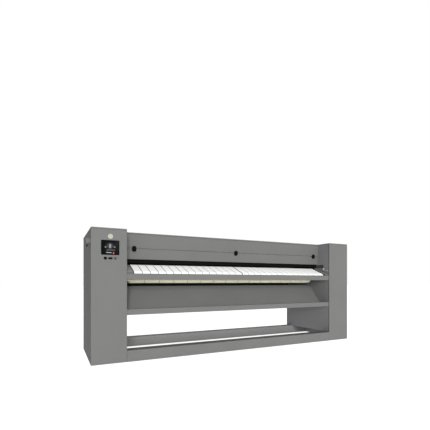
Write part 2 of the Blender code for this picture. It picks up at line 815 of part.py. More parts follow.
def make_columns():
    front, side, rear = make_column("left", -1)
    cut_control_holes(front)
    switch_hole = ((-HALF, SWITCH_Y, SWITCH_Z), SWITCH_SHAFT_RADIUS + RUNNING, 2 * OVERRUN)
    drill(side, [switch_hole], "X")
    add_housing(side)
    duct_x = -(FAN_INSIDE + FAN_WIDTH / 2)
    duct_hole = ((duct_x, DEPTH, FAN_Z - FAN_DUCT_DROP), FAN_DUCT_RADIUS + RUNNING, 2 * (FLANGE + OVERRUN))
    gland_hole = ((-HALF + GLAND_FROM_SIDE, DEPTH, GLAND_Z), GLAND_NECK + RUNNING, 2 * (FLANGE + OVERRUN))
    drill(rear, [duct_hole, gland_hole], "Y", ROUND)
    make_column("right", 1)
    make_inner_plate("left_inner_plate", -1, [(FAN_Y, FAN_Z, FAN_INLET_RADIUS)])
    make_inner_plate("right_inner_plate", 1, [])


# Hood


def make_hatch():
    half = INNER - HATCH_END_GAP
    low = (-half, HOOD_FRONT - HATCH_HINGE_Y, HATCH_BOTTOM - HATCH_HINGE_Z)
    high = (half, HOOD_FRONT + HATCH_DEPTH - HATCH_HINGE_Y, 0)
    made = shell("hood_hatch", low, high, ((0, 1, 0),), "grey_paint", SHEET)
    made.data.transform(Matrix.Translation(middle(low, high)))
    made.location = (0, HATCH_HINGE_Y, HATCH_HINGE_Z)
    rod = [((0, 0, 0), HATCH_HINGE_RADIUS, 2 * (INNER + HINGE_REACH))]
    pin = helper("hatch_hinge_rod", rods_mesh("hatch_hinge_rod", rod, "X", ROUND_SMALL))
    pin.location = made.location
    join(made, pin)
    holes = [((x, HOOD_FRONT, LATCH_Z), LATCH_SHAFT_RADIUS + RUNNING, 2 * OVERRUN) for x in latch_places()]
    drill(made, holes, "Y")
    return made


def latch_places():
    return (LATCH_SHIFT - LATCH_SPREAD, LATCH_SHIFT, LATCH_SHIFT + LATCH_SPREAD)


def make_latch(name, x):
    """A rounded handle over the seam, its shaft through the hatch and a cam behind it."""
    front = -CLEAR - LATCH_THICK
    back = SHEET + CLEAR + LATCH_CAM_THICK
    size = (LATCH_WIDTH, LATCH_THICK, LATCH_LENGTH)
    mesh = rounded_plate(name, size, (0, (front - CLEAR) / 2, -LATCH_DROP), LATCH_CORNER)
    made = place(name, mesh, "black_plastic", (x, HOOD_FRONT, LATCH_Z))
    round_edges(made, SHEET)
    shaft = [((0, (front / 2 + back) / 2, 0), LATCH_SHAFT_RADIUS, back - front / 2)]
    join(made, helper(name + "_shaft", rods_mesh(name + "_shaft", shaft, "Y"), made.location))
    size = (LATCH_CAM_WIDTH, LATCH_CAM_THICK, LATCH_CAM_LENGTH + LATCH_CAM_WIDTH / 2)
    centre = (0, back - LATCH_CAM_THICK / 2, (LATCH_CAM_WIDTH / 2 - LATCH_CAM_LENGTH) / 2)
    join(made, helper(name + "_cam", block_mesh(name + "_cam", size, centre), made.location))
    return made


def make_hood():
    low = (-SPAN, HOOD_FRONT, CAP_BOTTOM)
    shell("hood_top_cover", low, (SPAN, DEPTH, HEIGHT), ((0, 0, -1),), "grey_paint", SHEET, SHEET)
    front = HOOD_FRONT + LOWER_PANEL_SET_BACK
    low = (-SPAN, front, HOOD_BOTTOM)
    high = (SPAN, front + FLANGE, HOOD_SEAM - SEAM_GAP / 2)
    shell("hood_lower_panel", low, high, ((0, 1, 0),), "grey_paint", SHEET, SHEET)
    make_hatch()
    for word, x in zip(("left", "middle", "right"), latch_places()):
        make_latch("hatch_latch_" + word, x)
    low = (-SPAN, REAR_INSIDE, REAR_PANEL_BOTTOM)
    shell("rear_panel", low, (SPAN, DEPTH, PANEL_TOP), ((0, -1, 0),), "grey_paint")


# Cylinder, heater and drive


def make_cylinder():
    right = SPROCKET_X + SPROCKET_THICK
    left = -(PLATE_OUT + BEARING_LENGTH - BEARING_END_WALL - CLEAR)
    bore = HEATER_TUBE_RADIUS + RUNNING
    inside = CYLINDER_RADIUS - CYLINDER_WALL
    disc = CYLINDER_HALF - CYLINDER_DISC
    profile = [(JOURNAL_RADIUS, right), (JOURNAL_RADIUS, CYLINDER_HALF)]
    profile += [(CYLINDER_RADIUS, CYLINDER_HALF), (CYLINDER_RADIUS, -CYLINDER_HALF)]
    profile += [(JOURNAL_RADIUS, -CYLINDER_HALF), (JOURNAL_RADIUS, left), (bore, left)]
    profile += [(bore, -disc), (inside, -disc), (inside, disc), (bore, disc), (bore, right)]
    return turned(
        "heated_cylinder", profile, "polished_steel", (0, CYLINDER_Y, CYLINDER_Z),
        around=ROUND_CYLINDER, closed=True,
    )


def make_heater():
    left = -(PLATE_OUT + BEARING_LENGTH + HEATER_TAIL)
    right = PLATE_OUT + BEARING_LENGTH / 2
    tube = [(0, right), (HEATER_TUBE_RADIUS, right), (HEATER_TUBE_RADIUS, left), (0, left)]
    made = turned("heater_bank", tube, "steel", (0, CYLINDER_Y, CYLINDER_Z), around=ROUND)
    plates = []
    for i in range(HEATER_DISCS):
        x = (HEATER_ROD_HALF - HEATER_DISC_THICK) * (2 * i / (HEATER_DISCS - 1) - 1)
        plates.append(((x, 0, 0), HEATER_DISC_RADIUS, HEATER_DISC_THICK))
    join(made, helper("heater_discs", rods_mesh("heater_discs", plates, "X", ROUND_SMALL), made.location))
    rods = []
    for i in range(HEATER_RODS):
        angle = 2 * pi * i / HEATER_RODS
        centre = (0, HEATER_RING_RADIUS * cos(angle), HEATER_RING_RADIUS * sin(angle))
        rods.append((centre, HEATER_ROD_RADIUS, 2 * HEATER_ROD_HALF))
    join(made, helper("heater_rods", rods_mesh("heater_rods", rods, "X", HEATER_RODS), made.location))
    return made


def make_bearing(name, side):
    start = PLATE_OUT + CLEAR
    ends = sorted((side * start, side * (start + BEARING_LENGTH - CLEAR)))
    half = BEARING_SIZE / 2
    low = (ends[0], CYLINDER_Y - half, CYLINDER_Z - half)
    high = (ends[1], CYLINDER_Y + half, CYLINDER_Z + half)
    made = block(name, low, high, "dark_steel", BEARING_END_WALL)
    centre_x = side * (PLATE_OUT + BEARING_LENGTH / 2)
    if side > 0:
        rods = [((centre_x, CYLINDER_Y, CYLINDER_Z), JOURNAL_RADIUS + RUNNING, BEARING_LENGTH + 2 * OVERRUN)]
        drill(made, rods, "X", ROUND_LARGE)
        return made
    deep = BEARING_LENGTH - BEARING_END_WALL + OVERRUN
    wide_x = side * (PLATE_OUT - OVERRUN + deep / 2)
    drill(made, [((wide_x, CYLINDER_Y, CYLINDER_Z), JOURNAL_RADIUS + RUNNING, deep)], "X", ROUND_LARGE)
    narrow = ((centre_x, CYLINDER_Y, CYLINDER_Z), HEATER_TUBE_RADIUS + RUNNING, BEARING_LENGTH + 2 * OVERRUN)
    drill(made, [narrow], "X", ROUND_LARGE, "tube_hole")
    return made


def make_drive():
    x = SPROCKET_X + SPROCKET_THICK / 2
    mesh = sprocket_mesh("cylinder_sprocket", CHAIN_TEETH, SPROCKET_THICK)
    wheel = place("cylinder_sprocket", mesh, "dark_steel", (x, CYLINDER_Y, CYLINDER_Z), turn_to("X"))
    bore = ((x, CYLINDER_Y, CYLINDER_Z), JOURNAL_RADIUS + RUNNING, SPROCKET_THICK + 2 * OVERRUN)
    drill(wheel, [bore], "X", ROUND_LARGE)
    mesh = sprocket_mesh("motor_sprocket", MOTOR_TEETH, SPROCKET_THICK)
    pinion = place("motor_sprocket", mesh, "dark_steel", (x, CYLINDER_Y, MOTOR_Z), turn_to("X"))
    shaft_start = GEARBOX_END - MOTOR_SHAFT_DEPTH - x
    shaft_end = SPROCKET_THICK / 2
    shaft_middle = (shaft_start + shaft_end) / 2
    shaft = [((shaft_middle, 0, 0), MOTOR_SHAFT_RADIUS, shaft_end - shaft_start)]
    join(pinion, helper("motor_shaft", rods_mesh("motor_shaft", shaft, "X"), pinion.location))
    hub = [((SPROCKET_THICK / 2, 0, 0), MOTOR_HUB_RADIUS, SPROCKET_THICK)]
    join(pinion, helper("motor_hub", rods_mesh("motor_hub", hub, "X"), pinion.location))
    make_gearmotor()
    make_chain(x)


def make_gearmotor():
    half = GEARBOX_SIZE / 2
    low = (PLATE_OUT + CLEAR, CYLINDER_Y - half, MOTOR_Z - half)
    high = (GEARBOX_END, CYLINDER_Y + half, MOTOR_Z + half)
    made = block("gearmotor", low, high, "motor_blue", CORNER)
    x = PLATE_OUT + OVERRUN + MOTOR_RADIUS
    centre = (x, CYLINDER_Y, MOTOR_Z - half - MOTOR_LENGTH / 2 + OVERRUN)
    body = rods_mesh("motor_body", [(centre, MOTOR_RADIUS, MOTOR_LENGTH)], "Z", ROUND)
    join(made, helper("motor_body", body))
    depth = MOTOR_SHAFT_DEPTH + OVERRUN
    hole_x = GEARBOX_END - MOTOR_SHAFT_DEPTH - CLEAR + depth / 2
    drill(made, [((hole_x, CYLINDER_Y, MOTOR_Z), MOTOR_SHAFT_RADIUS + RUNNING, depth)], "X")
    return made


def make_chain(x):
    lift = TOOTH_HEIGHT / 2 + RUNNING
    wheels = [
        (CYLINDER_Y, MOTOR_Z, CHAIN_PITCH * MOTOR_TEETH / (2 * pi) + lift),
        (CYLINDER_Y, CYLINDER_Z, CHAIN_PITCH * CHAIN_TEETH / (2 * pi) + lift),
    ]
    route = belt_route(wheels, CHAIN_STEP)
    stations = (x - CHAIN_WIDTH / 2, x + CHAIN_WIDTH / 2)
    made = place("drive_chain", ribbon_mesh("drive_chain", route, stations, True), "dark_steel", (0, 0, 0))
    thicken(made, CHAIN_THICK, 1)
    return made


# Rollers and belts


def make_roller(name, y, z, radius, half):
    reach = INNER + SHAFT_REACH
    outside = [(SHAFT_RADIUS, reach), (SHAFT_RADIUS, half), (radius, half)]
    outside += [(r, -along) for r, along in reversed(outside)]
    hollow = half - ROLLER_WALL
    inside = [(SHAFT_BORE, -reach), (SHAFT_BORE, -hollow), (radius - ROLLER_WALL, -hollow)]
    inside += [(r, -along) for r, along in reversed(inside)]
    return turned(name, outside + inside, "steel", (0, y, z), around=ROUND_ROLLER, closed=True)


def make_ironing_belts():
    inner = GUIDE_RADIUS + BELT_CLEAR
    order = ("lower_front", "lower_rear", "upper_rear", "upper_front", "nip")
    wheels = [(*GUIDE_ROLLERS[word + "_roller"], inner) for word in order]
    wheels.append((CYLINDER_Y, CYLINDER_Z, -(CYLINDER_RADIUS + BELT_CLEAR + IRONING_BELT)))
    route = belt_route(wheels, BELT_STEP)
    pitch = 2 * BELT_FIELD_HALF / IRONING_BELTS
    belt_set(
        "ironing_belts", route, -BELT_FIELD_HALF, IRONING_BELTS, pitch, IRONING_GAP,
        IRONING_BELT, IRONING_WEB, "cream_belt",
    )


def make_feed_belts():
    wheels = [
        (NOSE_Y, NOSE_Z, NOSE_RADIUS + BELT_CLEAR),
        (FEED_ROLLER_Y, FEED_ROLLER_Z, FEED_ROLLER_RADIUS + BELT_CLEAR),
    ]
    route = belt_route(wheels, BELT_STEP)
    pitch = 2 * BELT_FIELD_HALF / FEED_BELTS
    count = FEED_BELTS // 2
    for word, start in (("left", -BELT_FIELD_HALF), ("right", 0)):
        name = "feed_belts_" + word
        belt_set(name, route, start, count, pitch, FEED_GAP, FEED_BELT, FEED_WEB, "white_belt")


def make_rollers():
    for name, (y, z) in GUIDE_ROLLERS.items():
        make_roller(name, y, z, GUIDE_RADIUS, ROLLER_HALF)
    make_roller("feed_nose_roller", NOSE_Y, NOSE_Z, NOSE_RADIUS, BELT_FIELD_HALF)
    make_roller("feed_drive_roller", FEED_ROLLER_Y, FEED_ROLLER_Z, FEED_ROLLER_RADIUS, BELT_FIELD_HALF)


# Feed table, guard, stripper and tray


def feed_slope():
    """The heading of the feed table's top run, from the nose up to the rear roller."""
    rise = FEED_ROLLER_Z - NOSE_Z
    run = FEED_ROLLER_Y - NOSE_Y
    return atan2(rise, run) + asin((FEED_ROLLER_RADIUS - NOSE_RADIUS) / hypot(rise, run))


def make_deck_side(name, side):
    """The sheet beside the belts that follows their profile."""
    slope = feed_slope()
    radius = NOSE_RADIUS + BELT_CLEAR
    centre = Vector((NOSE_Y, NOSE_Z))
    start = -pi / 2 + slope
    turn = slope + pi / 2 - start - 2 * pi
    steps = 9
    route = []
    for k in range(steps + 1):
        angle = start + turn * k / steps
        route.append(tuple(centre + radius * Vector((cos(angle), sin(angle)))))
    up = Vector((cos(slope), sin(slope)))
    top = Vector((FEED_ROLLER_Y, FEED_ROLLER_Z)) + (FEED_ROLLER_RADIUS + BELT_CLEAR) * Vector((-up.y, up.x))
    route.append(tuple(top))
    route.append((top.x, top.y - DECK_LIP))
    ends = sorted((side * (BELT_FIELD_HALF + DECK_GAPS[side]), side * SPAN))
    made = place(name, ribbon_mesh(name, route, ends, False), "grey_paint", (0, 0, 0))
    thicken(made, SHEET, 0)
    return made


def make_apron():
    corners = [(APRON_FRONT + APRON_HEM, APRON_TOP), (APRON_FRONT, APRON_TOP)]
    corners += [(APRON_FRONT, APRON_BOTTOM), (APRON_FRONT + APRON_FOOT, APRON_BOTTOM)]
    bent_sheet("feed_apron", rounded_route(corners, SHEET), SPAN, "grey_paint")


def make_guard():
    half = INNER - GUARD_END_GAP
    low = Vector((-half, -GUARD_THICK / 2, GUARD_BOTTOM - GUARD_Z))
    high = Vector((half, GUARD_THICK / 2, 0))
    mesh = block_mesh("finger_guard", high - low, middle(low, high))
    made = place("finger_guard", mesh, "black_plastic", (0, GUARD_Y, GUARD_Z))
    rod = [((0, 0, 0), GUARD_ROD_RADIUS, 2 * (INNER + HINGE_REACH))]
    join(made, helper("guard_rod", rods_mesh("guard_rod", rod, "X"), made.location))
    return made


def make_stripper():
    corners = [(STRIPPER_Y, STRIPPER_TOP), (STRIPPER_Y, STRIPPER_BEND), (STRIPPER_TIP_Y, STRIPPER_TIP_Z)]
    bent_sheet("stripper_bar", rounded_route(corners, BEND_RADIUS), SPAN, "steel")


def make_tray():
    slope_foot = TRAY_LIP_FRONT + TRAY_FLOOR_SHARE * (TRAY_SLOPE_TOP_Y - TRAY_LIP_FRONT)
    corners = [(TRAY_LIP_FRONT + TRAY_LIP_HEM, TRAY_LIP_TOP), (TRAY_LIP_FRONT, TRAY_LIP_TOP)]
    corners += [(TRAY_LIP_FRONT, TRAY_FLOOR), (slope_foot, TRAY_FLOOR)]
    corners += [(TRAY_SLOPE_TOP_Y, TRAY_SLOPE_TOP_Z), (TRAY_SLOPE_TOP_Y + TRAY_TOP_HEM, TRAY_SLOPE_TOP_Z)]
    bent_sheet("return_tray", rounded_route(corners, SHEET), SPAN, "grey_paint")


def make_lint_pan():
    corners = [(LINT_PAN_FRONT, LINT_PAN_TOP), (LINT_PAN_FRONT, LINT_PAN_FLOOR)]
    corners += [(LINT_PAN_REAR, LINT_PAN_FLOOR), (LINT_PAN_REAR, LINT_PAN_REAR_TOP)]
    bent_sheet("lint_pan", rounded_route(corners, BEND_RADIUS), SPAN, "galvanised")


# Exhaust fan and electrical cabinet


def make_fan_housing():
    x = -(FAN_INSIDE + FAN_WIDTH / 2)
    drum = [((x, FAN_Y, FAN_Z), FAN_RADIUS, FAN_WIDTH)]
    mesh = rods_mesh("exhaust_fan_housing", drum, "X", ROUND_LARGE)
    made = place("exhaust_fan_housing", mesh, "galvanised", (0, 0, 0))
    duct_z = FAN_Z - FAN_DUCT_DROP
    duct_length = DEPTH - FAN_Y
    duct = [((x, FAN_Y + duct_length / 2, duct_z), FAN_DUCT_RADIUS, duct_length)]
    join(made, helper("fan_duct", rods_mesh("fan_duct", duct, "Y", ROUND)))
    motor_x = -(FAN_OUTSIDE + FAN_MOTOR_LENGTH / 2)
    motor = [((motor_x, FAN_Y, FAN_Z), FAN_MOTOR_RADIUS, FAN_MOTOR_LENGTH + OVERRUN)]
    join(made, helper("fan_motor", rods_mesh("fan_motor", motor, "X", ROUND)))
    hollow = [((x, FAN_Y, FAN_Z), FAN_RADIUS - FAN_WALL, FAN_WIDTH - 2 * FAN_WALL)]
    cut(made, helper("fan_hollow", rods_mesh("fan_hollow", hollow, "X", ROUND_LARGE)))
    inlet = [((-FAN_INSIDE, FAN_Y, FAN_Z), FAN_INLET_RADIUS, 2 * OVERRUN)]
    cut(made, helper("fan_inlet", rods_mesh("fan_inlet", inlet, "X", ROUND)))
    bore_length = duct_length + OVERRUN
    bore = [((x, FAN_Y + bore_length / 2, duct_z), FAN_DUCT_RADIUS - FAN_WALL, bore_length)]
    cut(made, helper("fan_bore", rods_mesh("fan_bore", bore, "Y", ROUND)))
    shaft_length = IMPELLER_SHAFT_REACH + FAN_WALL + OVERRUN
    shaft_x = -(FAN_OUTSIDE + IMPELLER_SHAFT_REACH + CLEAR) + shaft_length / 2
    shaft = [((shaft_x, FAN_Y, FAN_Z), IMPELLER_SHAFT_RADIUS + RUNNING, shaft_length)]
    cut(made, helper("fan_shaft_hole", rods_mesh("fan_shaft_hole", shaft, "X")))
    return made


def make_impeller():
    back = -(FAN_OUTSIDE - FAN_WALL - OVERRUN)
    origin = (back, FAN_Y, FAN_Z)
    plate = [((IMPELLER_PLATE / 2, 0, 0), IMPELLER_RADIUS, IMPELLER_PLATE)]
    made = place("fan_impeller", rods_mesh("fan_impeller", plate, "X", ROUND), "galvanised", origin)
    bm = bmesh.new()
    for i in range(IMPELLER_BLADES):
        turned_by = Matrix.Rotation(2 * pi * i / IMPELLER_BLADES, 4, "X")
        length = IMPELLER_RADIUS - IMPELLER_HUB_RADIUS - SHEET
        size = Matrix.Diagonal((IMPELLER_BLADE_WIDTH, IMPELLER_PLATE, length, 1))
        shift = Matrix.Translation((IMPELLER_BLADE_WIDTH / 2, 0, IMPELLER_HUB_RADIUS + length / 2))
        bmesh.ops.create_cube(bm, size=1, matrix=turned_by @ shift @ size)
    join(made, helper("impeller_blades", mesh_of(bm, "impeller_blades"), origin))
    start = -(FAN_OUTSIDE + IMPELLER_SHAFT_REACH) - back
    end = IMPELLER_BLADE_WIDTH / 2
    shaft = [(((start + end) / 2, 0, 0), IMPELLER_SHAFT_RADIUS, end - start)]
    join(made, helper("impeller_shaft", rods_mesh("impeller_shaft", shaft, "X"), origin))
    return made


def make_cabinet():
    out = SHEET + CLEAR
    low, high = side_box(
        -1, out, out + CABINET_DEPTH, CABINET_FRONT, CABINET_BACK, CABINET_BOTTOM, CABINET_TOP,
    )
    shell("electrical_cabinet", low, high, ((-1, 0, 0),), "galvanised")


# Controls


def make_screen():
    half_w = SCREEN_WIDTH / 2
    half_h = SCREEN_HEIGHT / 2
    low = (SCREEN_X - half_w, -SCREEN_PROUD, SCREEN_Z - half_h)
    high = (SCREEN_X + half_w, -CLEAR, SCREEN_Z + half_h)
    made = block("control_screen", low, high, "black_glass")
    inset = SCREEN_BORDER + RUNNING
    size = (SCREEN_WIDTH - 2 * inset, SCREEN_BODY_DEPTH, SCREEN_HEIGHT - 2 * inset)
    centre = (SCREEN_X, SCREEN_BODY_DEPTH / 2 - SCREEN_PROUD / 2, SCREEN_Z)
    join(made, helper("screen_body", block_mesh("screen_body", size), centre))


def make_start_button():
    cap_back = BUTTON_PROUD - BUTTON_CAP
    profile = [(0, BUTTON_PROUD), (BUTTON_RADIUS - SHEET / 2, BUTTON_PROUD)]
    profile += [(BUTTON_RADIUS, BUTTON_PROUD - SHEET / 2), (BUTTON_RADIUS, cap_back)]
    profile += [(BUTTON_STEM_RADIUS, cap_back), (BUTTON_STEM_RADIUS, -BUTTON_STEM), (0, -BUTTON_STEM)]
    made = turned("start_button", profile, "black_plastic", (BUTTON_X, 0, CONTROL_Z), "Y", ROUND)
    made.rotation_euler = (pi / 2, 0, 0)


def make_port_cover():
    """A flap over the port, hinged along its top edge."""
    size = (PORT_WIDTH, PORT_THICK - CLEAR, PORT_HEIGHT)
    mesh = rounded_plate("port_cover", size, (0, 0, -PORT_HEIGHT / 2), PORT_HEIGHT / 3)
    y = -(PORT_THICK + CLEAR) / 2
    place("port_cover", mesh, "black_rubber", (PORT_X, y, CONTROL_Z + PORT_HEIGHT / 2))


def make_key_switch():
    ring = KEY_RING
    profile = [(0, KEY_PROUD), (KEY_RADIUS - SHEET, KEY_PROUD), (KEY_RADIUS, ring), (KEY_RADIUS, CLEAR)]
    profile += [(BUTTON_STEM_RADIUS, CLEAR), (BUTTON_STEM_RADIUS, -BUTTON_STEM), (0, -BUTTON_STEM)]
    made = turned("key_switch", profile, "steel", (KEY_X, 0, CONTROL_Z), "Y", ROUND)
    made.rotation_euler = (pi / 2, 0, 0)
    slot = (KEY_SLOT_WIDTH, 2 * KEY_SLOT_DEPTH, KEY_SLOT_LENGTH)
    cut(made, helper("key_slot", block_mesh("key_slot", slot), (KEY_X, -KEY_PROUD, CONTROL_Z)))


def make_main_switch():
    base = CLEAR + SWITCH_BASE
    profile = [(0, base), (SWITCH_RADIUS, base), (SWITCH_RADIUS, CLEAR), (SWITCH_SHAFT_RADIUS, CLEAR)]
    profile += [(SWITCH_SHAFT_RADIUS, -SWITCH_SHAFT), (0, -SWITCH_SHAFT)]
    made = turned("main_switch", profile, "black_plastic", (-HALF, SWITCH_Y, SWITCH_Z), "X", ROUND)
    made.rotation_euler = (0, -pi / 2, 0)
    size = (SWITCH_PROUD - base / 2, SWITCH_BAR_WIDTH, 2 * SWITCH_RADIUS - SHEET)
    centre = (-(SWITCH_PROUD + base / 2) / 2, 0, 0)
    join(made, helper("switch_bar", block_mesh("switch_bar", size, centre), made.location))


def make_gland():
    inside = -(SHEET + CLEAR + GLAND_INSIDE)
    lock = -(SHEET + CLEAR)
    profile = [(GLAND_RADIUS - SHEET, GLAND_PROUD), (GLAND_RADIUS, GLAND_PROUD - SHEET)]
    profile += [(GLAND_RADIUS, CLEAR), (GLAND_NECK, CLEAR), (GLAND_NECK, lock)]
    profile += [(GLAND_RADIUS, lock), (GLAND_RADIUS, inside)]
    profile += [(GLAND_BORE, inside), (GLAND_BORE, GLAND_PROUD)]
    x = -HALF + GLAND_FROM_SIDE
    turned("cable_gland", profile, "black_plastic", (x, DEPTH, GLAND_Z), "Y", ROUND_SMALL, closed=True)


def make_controls():
    make_screen()
    make_start_button()
    make_port_cover()
    make_key_switch()
    make_main_switch()
    make_gland()


def main():
    make_base()
    make_columns()
    make_hood()
    make_cylinder()
    make_heater()
    make_bearing("cylinder_bearing_left", -1)
    make_bearing("cylinder_bearing_right", 1)
    make_drive()
    make_rollers()
    make_ironing_belts()
    make_feed_belts()
    make_deck_side("feed_deck_side_left", -1)
    make_deck_side("feed_deck_side_right", 1)
    make_apron()
    make_guard()
    make_stripper()
    make_tray()
    make_lint_pan()
    make_fan_housing()
    make_impeller()
    make_cabinet()
    make_controls()


main()
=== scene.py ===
"""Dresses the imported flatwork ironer: a finish for each CAD node, and the detailed pieces.

Metres, +Z up, the front faces -Y. Places are measured as on the machine: x from its middle,
y from the front of the side columns, z from the floor, and at() turns them into the part's frame.
Outlines inside mm() are in millimetres.
"""

from math import asin, atan2, ceil, cos, dist, hypot, pi, radians, sin

import bmesh
import bpy
from bpy.props import FloatProperty, FloatVectorProperty, IntProperty, PointerProperty
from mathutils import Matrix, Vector


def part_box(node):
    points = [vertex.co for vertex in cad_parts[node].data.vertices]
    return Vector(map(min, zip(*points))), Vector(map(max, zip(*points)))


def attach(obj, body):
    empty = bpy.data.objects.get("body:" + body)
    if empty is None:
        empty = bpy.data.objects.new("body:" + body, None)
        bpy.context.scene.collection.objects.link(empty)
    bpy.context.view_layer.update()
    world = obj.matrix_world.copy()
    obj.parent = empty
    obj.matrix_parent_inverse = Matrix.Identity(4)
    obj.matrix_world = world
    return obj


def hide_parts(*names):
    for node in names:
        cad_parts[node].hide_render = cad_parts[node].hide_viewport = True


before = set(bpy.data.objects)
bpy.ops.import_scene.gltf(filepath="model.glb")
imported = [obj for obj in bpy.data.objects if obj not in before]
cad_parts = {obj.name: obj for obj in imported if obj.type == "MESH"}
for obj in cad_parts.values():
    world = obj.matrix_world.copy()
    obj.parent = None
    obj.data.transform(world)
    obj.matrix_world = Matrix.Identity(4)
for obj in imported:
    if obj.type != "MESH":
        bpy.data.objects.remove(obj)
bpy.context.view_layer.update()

bl_info = {
    "name": "Flatwork ironer",
    "version": (1, 0, 0),
    "blender": (4, 5, 0),
    "location": "3D View > Sidebar > Ironer",
    "description": "Dresses the flatwork ironer with its finishes, belts, controls and trim",
    "category": "Object",
}

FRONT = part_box("left_front_panel")[0].y
MIDDLE = (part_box("left_front_panel")[0].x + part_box("right_front_panel")[1].x) / 2

# Sides of round shapes
CYLINDER_SIDES = 128
FINE = 64
CLOSE = 48
MEDIUM = 32
SMALL = 24
COARSE = 16
TINY = 8
HEXAGON = 6

# Main sheets, and how far screws and louvres stand off them
COLUMN_OUT = 1.59
COLUMN_IN = 1.272
DECK_END = 1.2717
SHEET_END = 1.2715
DEEP = 0.85
SEAT = 0.0002

# Shafts along x, at (y, z), their rollers' sizes, and the feed table's slope
CYLINDER = (0.48, 0.962)
CYLINDER_RADIUS = 0.2
MOTOR = (0.48, 0.49)
NOSE = (0.066, 0.823)
NOSE_RADIUS = 0.035
DRIVE = (0.2463, 0.8989)
DRIVE_RADIUS = 0.027
GUIDES = {
    "lower_front_roller": (0.303, 0.775),
    "lower_rear_roller": (0.69, 0.775),
    "upper_rear_roller": (0.69, 1.17),
    "upper_front_roller": (0.355, 1.17),
    "nip_roller": (0.26606, 1.06166),
}
GUIDE_RADIUS = 0.03
GUIDE_HALF = 1.215
BELT_CLEAR = 0.0006
RISE = atan2(DRIVE[1] - NOSE[1], DRIVE[0] - NOSE[0])
SLOPE = RISE + asin((DRIVE_RADIUS - NOSE_RADIUS) / dist(NOSE, DRIVE))

# Fittings, at (x, z) on the front or rear, and at (y, z) on the left side
LATCHES = {"left": -1.164, "middle": 0.011, "right": 1.186}
LATCH_PIVOT = 1.10525
SCREEN = (-1.4235, 1.069)
SCREEN_HALF = (0.0805, 0.067)
BADGE = (-1.422, 1.172)
START_BUTTON = (-1.467, 0.971)
PORT_COVER = (-1.423, 0.971)
KEY_SWITCH = (-1.379, 0.971)
MAIN_SWITCH = (0.35, 1.1145)
GLAND = (-1.43, 0.2)
EXHAUST = (-1.3383, 0.585)

# The camera fitted to the photograph, in its pixels
PICTURE = 430
FOCAL = 326.047
HORIZON = 281.65

AXIS = {"X": Vector((1, 0, 0)), "Y": Vector((0, 1, 0)), "Z": Vector((0, 0, 1))}
FORWARD = (0, -1, 0)
ROUND = 2 * pi
MERGE = 0.000002
SLACK = 0.0001


def at(x, y, z):
    """A place on the machine, in the part's frame."""
    return Vector((x + MIDDLE, y + FRONT, z))


def mm(*points):
    """An outline given in millimetres."""
    return [(a / 1000, b / 1000) for a, b in points]


def spaced(low, high, count):
    """Places at even steps, both ends among them."""
    return [low + (high - low) * i / (count - 1) for i in range(count)]


def mirrored(profile):
    """A profile (radius, along) and then its mirror image."""
    return profile + [(radius, -far) for radius, far in reversed(profile)]


def length(name, description, default):
    return FloatProperty(name=name, description=description, default=default, unit="LENGTH")


def count(name, description, default, least):
    return IntProperty(name=name, description=description, default=default, min=least)


class IronerSizes(bpy.types.PropertyGroup):
    """Sizes of the pieces that a user may change."""

    belt_field: length("Belt field", "Half the width that the belts fill", 1.2)
    feed_belts: count("Feed belts", "How many belts the feed table has", 30, 2)
    feed_gap: length("Feed belt gap", "Gap between two feed belts", 0.006)
    middle_gap: length("Middle gap", "Gap between the two halves of the feed table", 0.014)
    feed_belt: length("Feed belt thickness", "Thickness of a feed belt", 0.0024)
    ironing_belts: count("Ironing belts", "How many ironing belts run round the cylinder", 15, 1)
    ironing_gap: length("Ironing belt gap", "Gap between two ironing belts", 0.008)
    ironing_belt: length("Ironing belt thickness", "Thickness of an ironing belt", 0.003)
    roller_end: length("Roller chamfer", "Chamfer at a roller's ends", 0.0015)
    screw_head: length("Screw head", "Radius of a panel screw's head", 0.005)
    badge: length("Badge", "Radius of the bare round badge", 0.0225)
    left_deck_gap: length("Left deck gap", "Gap between the belts and the left end sheet", 0.006)
    right_deck_gap: length("Right deck gap", "Gap between the belts and the right end sheet", 0.034)
    studio_reach: length("Floor", "Half the length of the studio floor", 60.0)


def colour(name, description, default):
    return FloatVectorProperty(
        name=name, description=description, default=default, subtype="COLOR", size=3, min=0, max=1)


